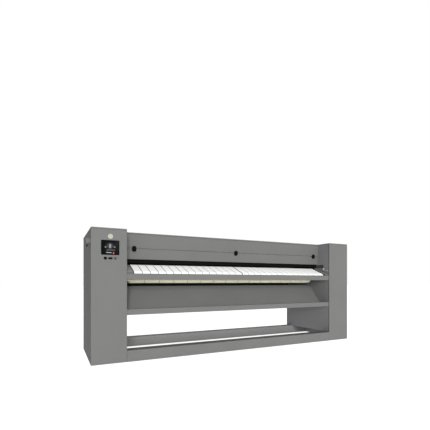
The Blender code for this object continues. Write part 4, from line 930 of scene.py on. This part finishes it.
class IRONER_OT_deck_sides(bpy.types.Operator):
    """Sheets at the feed table's ends, with dark nose covers that are painted shade, the nose shaft's carrier
    and its round end cap
    """

    bl_idname = "ironer.deck_sides"
    bl_label = "Feed table ends"

    def execute(self, context):
        sizes = context.scene.ironer_sizes
        reach, rear_lip, wall, steps, radius = 0.028, 0.018, 0.002, 20, NOSE_RADIUS - 0.004
        front = on_slope(NOSE, -reach, NOSE_RADIUS + BELT_CLEAR)
        top = on_slope(DRIVE, 0, DRIVE_RADIUS + BELT_CLEAR)
        deck = [(front[0] + 0.003, front[1] - 0.004), front, top, (top[0], top[1] - rear_lip)]
        turns = [SLOPE - pi / 2 - pi * k / steps for k in range(steps + 1)]
        cover = [(NOSE[0] + radius * cos(turn), NOSE[1] + radius * sin(turn)) for turn in turns]
        for word, side, gap in (("left", -1, sizes.left_deck_gap), ("right", 1, sizes.right_deck_gap)):
            node = "feed_deck_side_" + word
            ends = sorted((side * (sizes.belt_field + gap), side * DECK_END))
            made = drawn_sheet(node + "_sheet", deck, *ends, wall)
            # painted light: the end sheets get the lighter copy of the grey paint
            dress(made, "inner_painted_light_paint", "frame", node)
            # painted shade: the dark nose cover stands for the shadow line at the deck's front edge
            nose = drawn_sheet("feed_nose_cover_" + word, cover, *ends, wall)
            dress(nose, "bracket_paint", "frame")
            self.carrier(word, side)
        self.inner_sheets()
        return {"FINISHED"}

    def inner_sheets(self):
        """The folded slide plate under the belts, and the plate that leads the linen up to the nip; both are
        black as painted shade, in the belts' middle gap and in the slot under the guard.
        """
        under, wall = NOSE_RADIUS - 0.0035, 0.0015
        folds = mm((46, 12), (45, 0), (168, 1.2), (167, 13))
        slide = [on_slope(NOSE, far, under - deep) for far, deep in folds]
        infeed = mm((270.5, 918.5), (272.5, 921), (273.5, 925), (274, 962), (275.2, 990), (277.8, 1011),
                    (280, 1018), (282.5, 1020))
        # painted shade: both sheets are black so the gaps in front of them read dark
        for name, route, finish in (("feed_slide_plate", slide, "dull_black"),
                                    ("infeed_guide_plate", infeed, "black_plastic")):
            dress(drawn_sheet(name, route, -SHEET_END, SHEET_END, wall), finish, "frame")

    def carrier(self, word, side):
        """A level rail on the inner plate, the bearing bolt's round cap, and the guard's dark bracket, which
        is painted shade on the inner plate.
        """
        clear = 0.0005
        inner = side * (COLUMN_IN - clear)

        def plate(name, thick, low, high, corner, edge):
            near, far = sorted((inner, inner - side * thick))
            return rounded(name, (near, *low), (far, *high), "X", corner, edge)

        rail = plate("rail", 0.004, (0.014, 0.8935), (0.086, 0.9025), corner=0.0035, edge=0.0008)
        outline = mm((0, 8.5), (10, 8.5), (13, 7.2), (14.5, 5), (14.8, 0), (0, 0))
        cap = lathe("cap", [(radius, -side * far) for radius, far in outline], (inner, 0.102, 0.918), "X")
        made = unite("feed_deck_carrier_" + word, [rail, smooth(cap)])
        dress(smooth(made), "light_paint", "frame")
        # painted shade: a dark plate where the guard's shadow falls on the inner plate
        bracket = plate(
            "guard_bracket_" + word, 0.0025, (0.1, 0.936), (0.224, 0.976), corner=0.006, edge=0.0006)
        relieve(bracket, (-side, 0, 0), (0.004, 0), (0.0008, -0.0008))
        dress(smooth(soften(bracket, 0.0003)), "bracket_paint", "frame")


# Latches


class IRONER_OT_latches(bpy.types.Operator):
    """Black quarter-turn latches on the hatch's lower edge"""

    bl_idname = "ironer.latches"
    bl_label = "Hatch latches"

    def execute(self, context):
        for word, x in LATCHES.items():
            dress(self.latch(word, x), "black_plastic", "latch_" + word, node="hatch_latch_" + word)
        return {"FINISHED"}

    def latch(self, word, x):
        pivot = LATCH_PIVOT
        plate = front_plate(
            "plate", (x, pivot - 0.018), (0.021, 0.027), 0.1895, 0.1997, corner=0.016, segments=8)
        relieve(plate, FORWARD, (0.003, 0), (0.001, -0.0022))
        soften(plate, 0.0008)
        grip = front_plate(
            "grip", (x, pivot - 0.023), (0.0065, 0.016), 0.1862, 0.1935, corner=0.005, edge=0.0012)
        relieve(grip, FORWARD, (0.0022, -0.0006))
        outline = mm((0, -11.2), (5, -11.2), (6.6, -10.4), (7.2, -9), (7.2, -1), (5.8, -0.3), (5.8, 5.2),
                     (0, 5.2))
        hub = lathe("hub", outline, (x, 0.2, pivot), "Y", SMALL)
        carve(hub, box("slot", (x - 0.0008, 0.18, pivot - 0.0045), (x + 0.0008, 0.1902, pivot + 0.0045)))
        cam = front_plate("cam", (x, pivot - 0.00125), (0.005, 0.00625), 0.2026, 0.2053, corner=0.0015)
        return smooth(unite("hatch_latch_" + word + "_handle", [plate, grip, hub, cam]))


# Controls


class IRONER_OT_screen(bpy.types.Operator):
    """Control screen: a bezel with a set-in lit display"""

    bl_idname = "ironer.screen"
    bl_label = "Control screen"

    def execute(self, context):
        rim = 0.0065
        bezel = front_plate("bezel", SCREEN, SCREEN_HALF, -0.0027, -0.0003, corner=0.005)
        (x, z), (wide, high) = SCREEN, [half - rim for half in SCREEN_HALF]
        back = box("back", (x - wide, -0.001, z - high), (x + wide, 0.038, z + high))
        soften(back, 0.001, 40)
        back.data.materials.append(FINISHES["black_plastic"])
        relieve(bezel, FORWARD, (0.0022, 0), (0.0008, -0.0007))
        centre = at(x, 0, z)
        inlay(bezel, "black_plastic", display_finish(),
              lambda m, n: n.y < -0.9 and (m - centre).length < 0.01)
        soften(bezel, 0.0004)
        note(smooth(unite("control_screen_face", [bezel, back])), "frame", "control_screen")
        return {"FINISHED"}


class IRONER_OT_controls(bpy.types.Operator):
    """Start button with its collar, port cover, key switch and main switch"""

    bl_idname = "ironer.controls"
    bl_label = "Controls"

    def execute(self, context):
        self.button(*START_BUTTON)
        self.port_cover(*PORT_COVER)
        self.key_switch(*KEY_SWITCH)
        self.main_switch(*MAIN_SWITCH)
        return {"FINISHED"}

    def button(self, x, z):
        outline = mm((0, -8), (6, -8.3), (9, -9), (10.4, -9), (11.5, -8.3), (11.9, -7.2), (11.9, -4.6),
                     (8, -4.6), (8, 25), (0, 25))
        cap = smooth(lathe("start_button_cap", outline, (x, 0, z), "Y", CLOSE))
        dress(cap, "black_plastic", "button", node="start_button")
        outline = mm((12.3, -0.3), (12.3, -2.2), (12.6, -2.6), (13.1, -2.6), (13.5, -2), (13.6, -0.3))
        collar = smooth(lathe("start_button_collar", outline, (x, 0, z), "Y", CLOSE))
        dress(collar, "black_plastic")

    def port_cover(self, x, z):
        cap = front_plate("cap", (x, z), (0.019, 0.009), -0.0038, -0.0003, corner=0.008, segments=8)
        relieve(cap, FORWARD, (0.0016, 0), (0.0006, -0.0006))
        soften(cap, 0.0005)
        lip = front_plate(
            "lip", (x, z - 0.0069), (0.006, 0.0011), -0.0052, -0.003, corner=0.0008, edge=0.0003)
        made = smooth(unite("port_cover_cap", [cap, lip]))
        dress(made, "black_plastic", "port_flap", "port_cover")

    def key_switch(self, x, z):
        outline = mm((0, -9.2), (7.8, -9.2), (8, -10), (9.6, -10), (10.4, -9.2), (10.8, -6), (12, -4),
                     (12, -0.5), (8, -0.5), (8, 25), (0, 25))
        made = lathe("key_switch_barrel", outline, (x, 0, z), "Y", CLOSE)
        carve(made, front_plate("slot", (x, z), (0.0014, 0.005), -0.012, -0.005, corner=0.0005))
        reach, low, high = 0.007, at(x, -0.009, z), at(x, -0.004, z)
        inlay(made, "bracket_paint", FINISHES["black_plastic"],
              lambda m, n: hypot(m.x - low.x, m.z - z) < reach and low.y < m.y < high.y)
        note(smooth(made), "key", "key_switch")

    def main_switch(self, y, z):
        out = -COLUMN_OUT
        outline = mm((0, -3.3), (9.8, -3.3), (10.9, -2.9), (11.6, -2), (11.8, -1), (11.8, -0.4), (5, -0.4),
                     (5, 30), (0, 30))
        disc = lathe("disc", outline, (out, y, z), "X", CLOSE)
        bar = rounded("bar", (out - 0.01, y - 0.0035, z - 0.011), (out - 0.003, y + 0.0035, z + 0.011), "X",
                      corner=0.0033, edge=0.0008, segments=8)
        relieve(bar, (-1, 0, 0), (0.0012, -0.0005))
        made = smooth(unite("main_switch_knob", [disc, bar]))
        dress(made, "black_plastic", "mains_knob", node="main_switch")


class IRONER_OT_badge(bpy.types.Operator):
    """The bare round badge on the left column"""

    bl_idname = "ironer.badge"
    bl_label = "Badge"

    def execute(self, context):
        radius = context.scene.ironer_sizes.badge
        x, z = BADGE
        rim = mm((-4.2, -1.6), (-3.6, -2.4), (-1, -2.4), (0, -1.4), (0, -0.3))
        profile = [(0, -0.0016), *((radius + out, far) for out, far in rim), (0, -0.0003)]
        made = lathe("round_badge", profile, (x, 0, z), "Y", FINE)
        centre = at(x, 0, z)
        inlay(made, "light_paint", FINISHES["badge"],
              lambda m, n: n.y < -0.9 and hypot(m.x - centre.x, m.z - z) < radius - 0.004)
        note(smooth(made), "frame")
        return {"FINISHED"}


# Chain


def walk(legs, distance):
    """The place at a distance along a closed run."""
    while True:
        for leg in legs:
            if distance <= leg["arc"]:
                heading = leg["start"] + leg["sweep"] * distance / leg["arc"]
                return leg["centre"] - left_of(heading) * leg["mid"]
            distance -= leg["arc"]
            if distance <= leg["line"].length:
                return leg["end"] + leg["line"].normalized() * distance
            distance -= leg["line"].length


class IRONER_OT_drive_chain(bpy.types.Operator):
    """Roller chain round the motor's and the cylinder's sprockets"""

    bl_idname = "ironer.drive_chain"
    bl_label = "Drive chain"

    def execute(self, context):
        motor_radius, cylinder_radius, nominal_pitch = 0.0489, 0.1298, 0.0127
        legs = belt_legs([(*MOTOR, motor_radius), (*CYLINDER, cylinder_radius)], 0)
        whole = sum(leg["arc"] + leg["line"].length for leg in legs)
        pairs = round(whole / nominal_pitch / 2)
        pitch = whole / pairs / 2
        models = [self.link("outer", pitch, 0.0066), self.link("inner", pitch, 0.0054)]
        links = []
        for i in range(2 * pairs):
            begin, end = walk(legs, i * pitch), walk(legs, (i + 1) * pitch)
            twin = copy_of(models[i % 2], "link")
            turn_all(twin, atan2(end.y - begin.y, end.x - begin.x), "X")
            bpy.ops.transform.translate(value=(0, *((begin + end) / 2)))
            links.append(settle(twin, "link"))
        for model in models:
            bpy.data.objects.remove(model)
        dress(smooth(unite("drive_chain_links", links), 50), "dark_steel", node="drive_chain")
        return {"FINISHED"}

    def link(self, name, pitch, out):
        """Two side plates and one roller, lying along y at the machine's origin."""
        middle, thick, half, pin = 1.361, 0.0011, 0.0042, 0.0038
        parts = []
        for way in (-1, 1):
            near, far = sorted((middle + way * out, middle + way * (out + thick)))
            low, high = (near, -pitch / 2 - half, -half), (far, pitch / 2 + half, half)
            parts.append(rounded("plate", low, high, "X", corner=0.0036, segments=2))
        clear_selection()
        bpy.ops.mesh.primitive_cylinder_add(
            vertices=TINY, radius=pin, depth=2 * out - 0.0004, location=at(middle, -pitch / 2, 0),
            rotation=(0, pi / 2, 0))
        parts.append(settle(bpy.context.object, "roller"))
        return unite(name, parts)


# Feet and small fittings


class IRONER_OT_feet(bpy.types.Operator):
    """Levelling feet: a rubber pad, a threaded stem and its lock nut"""

    bl_idname = "ironer.feet"
    bl_label = "Levelling feet"

    def execute(self, context):
        pad = mm((0, 0), (25.5, 0), (27.2, 0.8), (28, 2.5), (28, 6), (26.8, 8.5), (20, 10.5), (14, 12),
                 (12.5, 14), (0, 14))
        thread = [spot for i in range(12) for spot in ((6, 17 + 2.25 * i), (5, 18.1 + 2.25 * i))]
        stem = mm((0, 14.2), (8.5, 14.2), (8.5, 16.5), *thread, (6, 44.4), (5.5, 45), (0, 45))
        nut = mm((6.2, 29), (9.8, 29), (10.5, 29.6), (10.5, 36.4), (9.8, 37), (6.2, 37))
        for word, x in (("left", -1.5147), ("right", 1.5147)):
            for end, y in (("front", 0.067), ("rear", 0.783)):
                node, spot = f"foot_{end}_{word}", (x, y, 0)
                rubber = smooth(lathe(node + "_pad", pad, spot, "Z"))
                dress(rubber, "black_rubber", node=node)
                parts = [lathe("stem", stem, spot, "Z", SMALL), lathe("nut", nut, spot, "Z", HEXAGON)]
                dress(smooth(unite(node + "_stem", parts)), "steel", node=node)
        return {"FINISHED"}


class IRONER_OT_rear_fittings(bpy.types.Operator):
    """Cable gland, exhaust collar and rear louvres"""

    bl_idname = "ironer.rear_fittings"
    bl_label = "Rear fittings"

    def execute(self, context):
        self.gland(*GLAND)
        self.collar(*EXHAUST)
        self.vents()
        return {"FINISHED"}

    def gland(self, x, z):
        body = mm((7, -10.3), (9.8, -10.3), (9.8, 0.3), (13, 0.3), (13.4, 1), (13.4, 6.8), (13, 7.4),
                  (11.2, 7.8), (11.2, 15), (10.4, 16.8), (8.6, 18), (7.4, 18), (7, 17.4))
        lock = mm((10, -10.3), (13.6, -10.3), (13.9, -9.8), (13.9, -6), (13.6, -5.5), (10, -5.5))
        grip = mm((11.2, 8), (12.6, 8.2), (12.6, 14), (11.2, 15.2))
        parts = [lathe(name, outline, (x, DEEP, z), "Y", sides) for name, outline, sides in (
            ("body", body, SMALL), ("lock", lock, HEXAGON), ("grip", grip, HEXAGON))]
        dress(smooth(unite("cable_gland_body", parts)), "black_plastic", node="cable_gland")

    def collar(self, x, z):
        outline = mm((45.8, 0.3), (64, 0.3), (65, 1), (65, 2), (64, 2.8), (50, 2.8), (48.6, 4), (48, 12.8),
                     (47.4, 13.5), (46.4, 13.5), (45.8, 12.8))
        made = lathe("exhaust_collar", outline, (x, DEEP, z), "Y", FINE)
        dress(smooth(made), "galvanised")

    def vents(self):
        """Pressed louvres on the rear panel, modelled once and repeated."""
        wide, high, proud, slant, rows, lowest, pitch = 0.11, 0.01, 0.005, 0.0045, 9, 0.52, 0.018
        y = DEEP + SEAT
        first = box("louvre", (-wide, y, 0), (wide, y + proud, high))
        corner = at(0, y + proud - 1e-6, high - 1e-6)
        pick_edges(first, lambda a, b: min(a.z, b.z) > corner.z and min(a.y, b.y) > corner.y)
        bpy.ops.transform.translate(value=(0, -slant, 0))
        leave()
        soften(first, 0.001, 30)
        spots = [(x, 0, lowest + row * pitch) for x in (-0.8, 0.8) for row in range(rows)]
        fields = [copy_of(first, "louvre", spot) for spot in spots]
        bpy.data.objects.remove(first)
        dress(smooth(unite("rear_louvres", fields)), "grey_paint")


class IRONER_OT_insulation(bpy.types.Operator):
    """Dark quilted blanket on the inside of the rear panel, its black painted shade seen through the gap
    above the return panel
    """

    bl_idname = "ironer.insulation"
    bl_label = "Insulation"

    def execute(self, context):
        reach, low, high, across, up = 1.27, 0.64, 1.232, 12, 3
        made = box("rear_insulation", (-reach, 0.816, low), (reach, 0.829, high))
        edit(made)
        seams = [("X", far) for far in spaced(-reach, reach, across + 1)[1:-1]]
        seams += [("Z", far) for far in spaced(low, high, up + 1)[1:-1]]
        for axis, far in seams:
            everything()
            bpy.ops.mesh.bisect(plane_co=at(0, 0, 0) + AXIS[axis] * far, plane_no=AXIS[axis])
        pick_faces(made, facing(FORWARD))
        bpy.ops.mesh.inset(thickness=0.004, depth=0, use_individual=True)
        bpy.ops.mesh.inset(thickness=0.022, depth=0.006, use_individual=True)
        leave()
        dress(smooth(made, 60), "black_rubber")
        return {"FINISHED"}


# Panel screws


class IRONER_OT_screws(bpy.types.Operator):
    """Cross-recess screws that hold the panels, one piece for each panel"""

    bl_idname = "ironer.screws"
    bl_label = "Panel screws"

    def execute(self, context):
        model = self.screw(context.scene.ironer_sizes.screw_head)
        rear, side, inside = DEEP + SEAT, COLUMN_OUT + SEAT, COLUMN_IN - SEAT
        places = {"rear_panel_screws": ("Y", 1, [(x, rear, z) for z in (0.466, 1.222)
                                                for x in spaced(-1.252, 1.252, 9)])}
        margin, across = 0.02, ((0.12, 0.36), (0.7, 0.36), (0.41, 0.16))
        for word, way in (("left", -1), ("right", 1)):
            far = [way * (COLUMN_IN + margin), way * (COLUMN_OUT - margin)]
            places[word + "_rear_screws"] = (
                "Y", 1, [(x, rear, z) for x in far for z in spaced(0.03, 1.212, 5)])
            places[word + "_side_screws"] = (
                "X", way, [(way * side, y, z) for z in (0.03, 1.222) for y in spaced(0.06, 0.79, 4)])
            places[word + "_inner_screws"] = ("X", -way, [(way * inside, y, z) for y, z in across])
        for name, (axis, way, spots) in places.items():
            turned = copy_of(model, "turned")
            if axis == "X":
                turn_all(turned, -way * pi / 2, "Z")
                settle(turned, "turned")
            screws = [copy_of(turned, "screw", spot) for spot in spots]
            bpy.data.objects.remove(turned)
            dress(smooth(unite(name, screws)), "grey_paint")
        bpy.data.objects.remove(model)
        return {"FINISHED"}

    def screw(self, radius):
        """A pan head at the machine's origin, its face towards +y, with a cross recess."""
        high = radius * 0.42
        profile = [(radius * 0.95, 0), (radius, high * 0.25), (radius * 0.93, high * 0.62),
                   (radius * 0.72, high * 0.9), (0, high)]
        head = lathe("screw", profile, (0, 0, 0), "Y", COARSE)
        for wide, tall in ((0.55, 0.13), (0.13, 0.55)):
            carve(head, box("tool", (-radius * wide, high * 0.45, -radius * tall),
                            (radius * wide, high * 2, radius * tall)))
        return head


# Studio


class IRONER_OT_studio(bpy.types.Operator):
    """Pale floor, soft light and the camera"""

    bl_idname = "ironer.studio"
    bl_label = "Studio"

    def execute(self, context):
        clear_selection()
        reach, below = context.scene.ironer_sizes.studio_reach, 0.0005
        bpy.ops.mesh.primitive_plane_add(size=2 * reach, location=(0, 0, -below))
        floor = settle(bpy.context.object, "studio_floor")
        floor.data.materials.append(self.floor_finish())
        self.sky(context)
        self.suns(context)
        self.camera(context)
        return {"FINISHED"}

    def floor_finish(self):
        finish = Finish("studio_floor")
        soft = finish.noise(0.6, 2)
        finish.surface({"Base Color": finish.mixed(soft, (0.2, 0.2, 0.2), (0.22, 0.22, 0.22)),
                        "Roughness": 0.9, "Specular IOR Level": 0.0,
                        "Emission Color": (1, 1, 1, 1), "Emission Strength": 0.97})
        return finish.made

    def sky(self, context):
        """A white sky that is dimmer overhead and on the left, and plain white to the camera."""
        world = bpy.data.worlds.new("studio")
        world.use_nodes = True
        sky = Nodes(world.node_tree)
        way = sky.add("ShaderNodeTexCoord").outputs["Generated"]
        height = sky.add("ShaderNodeSeparateXYZ", {0: way}).outputs["Z"]
        left = Vector((-0.94, 0.34, 0.0)).normalized()
        aside = sky.add("ShaderNodeVectorMath", {0: way, 1: left}, operation="DOT_PRODUCT").outputs["Value"]
        overhead, flag = sky.ranged(height, 0.7, 1.0, 1.0, 0.35), sky.ranged(aside, 0.4, 0.74, 1.0, 0.05)
        seen = sky.add("ShaderNodeLightPath").outputs["Is Camera Ray"]
        strength = sky.maths(sky.maths(overhead, flag, "MULTIPLY"), seen, "MAXIMUM")
        sky.fill(sky.tree.nodes["Background"], {"Color": (1, 1, 1, 1), "Strength": strength})
        context.scene.world = world

    def suns(self, context):
        for name, energy, rise, aside in (
            ("low_front_key", 2.05, 3, 14), ("high_front_key", 2.05, 14, 14), ("left_fill", 0.03, 4, 62)
        ):
            sun = bpy.data.lights.new(name, "SUN")
            sun.energy = energy
            sun.angle = radians(16)
            lamp = bpy.data.objects.new(name, sun)
            lamp.rotation_euler = (radians(90 - rise), 0, radians(-aside))
            context.scene.collection.objects.link(lamp)

    def camera(self, context):
        """The camera fitted to the photograph."""
        lens = bpy.data.cameras.new("camera")
        lens.sensor_fit = "HORIZONTAL"
        lens.sensor_width = 36
        lens.lens = FOCAL / PICTURE * lens.sensor_width
        lens.shift_y = (HORIZON - PICTURE / 2) / PICTURE
        lens.dof.use_dof = False
        camera = bpy.data.objects.new("camera", lens)
        camera.location = (-1.8566, -3.5296, 0.7569)
        camera.rotation_euler = (radians(90), 0, radians(-26.1186))
        context.scene.collection.objects.link(camera)
        context.scene.camera = camera
        context.scene.view_settings.view_transform = "Standard"


OPERATORS = (
    IRONER_OT_finishes,
    IRONER_OT_feed_belts,
    IRONER_OT_ironing_belts,
    IRONER_OT_rollers,
    IRONER_OT_cylinder,
    IRONER_OT_deck_sides,
    IRONER_OT_latches,
    IRONER_OT_screen,
    IRONER_OT_controls,
    IRONER_OT_badge,
    IRONER_OT_drive_chain,
    IRONER_OT_feet,
    IRONER_OT_rear_fittings,
    IRONER_OT_insulation,
    IRONER_OT_screws,
    IRONER_OT_studio,
)


class IRONER_PT_panel(bpy.types.Panel):
    """Lists the ironer's operators"""

    bl_label = "Flatwork ironer"
    bl_space_type = "VIEW_3D"
    bl_region_type = "UI"
    bl_category = "Ironer"

    def draw(self, context):
        for operator in OPERATORS:
            self.layout.operator(operator.bl_idname)


CLASSES = (IronerSizes, IronerColours, *OPERATORS, IRONER_PT_panel)


def register():
    for made in CLASSES:
        bpy.utils.register_class(made)
    bpy.types.Scene.ironer_sizes = PointerProperty(type=IronerSizes)
    bpy.types.Scene.ironer_colours = PointerProperty(type=IronerColours)


def unregister():
    del bpy.types.Scene.ironer_colours
    del bpy.types.Scene.ironer_sizes
    for made in reversed(CLASSES):
        bpy.utils.unregister_class(made)


def main():
    register()
    bpy.ops.ironer.finishes()
    bpy.ops.ironer.feed_belts()
    bpy.ops.ironer.ironing_belts()
    bpy.ops.ironer.rollers()
    bpy.ops.ironer.cylinder()
    bpy.ops.ironer.deck_sides()
    bpy.ops.ironer.latches()
    bpy.ops.ironer.screen()
    bpy.ops.ironer.controls()
    bpy.ops.ironer.badge()
    bpy.ops.ironer.drive_chain()
    bpy.ops.ironer.feet()
    bpy.ops.ironer.rear_fittings()
    bpy.ops.ironer.insulation()
    bpy.ops.ironer.screws()
    bpy.ops.ironer.studio()


if __name__ == "__main__":
    main()
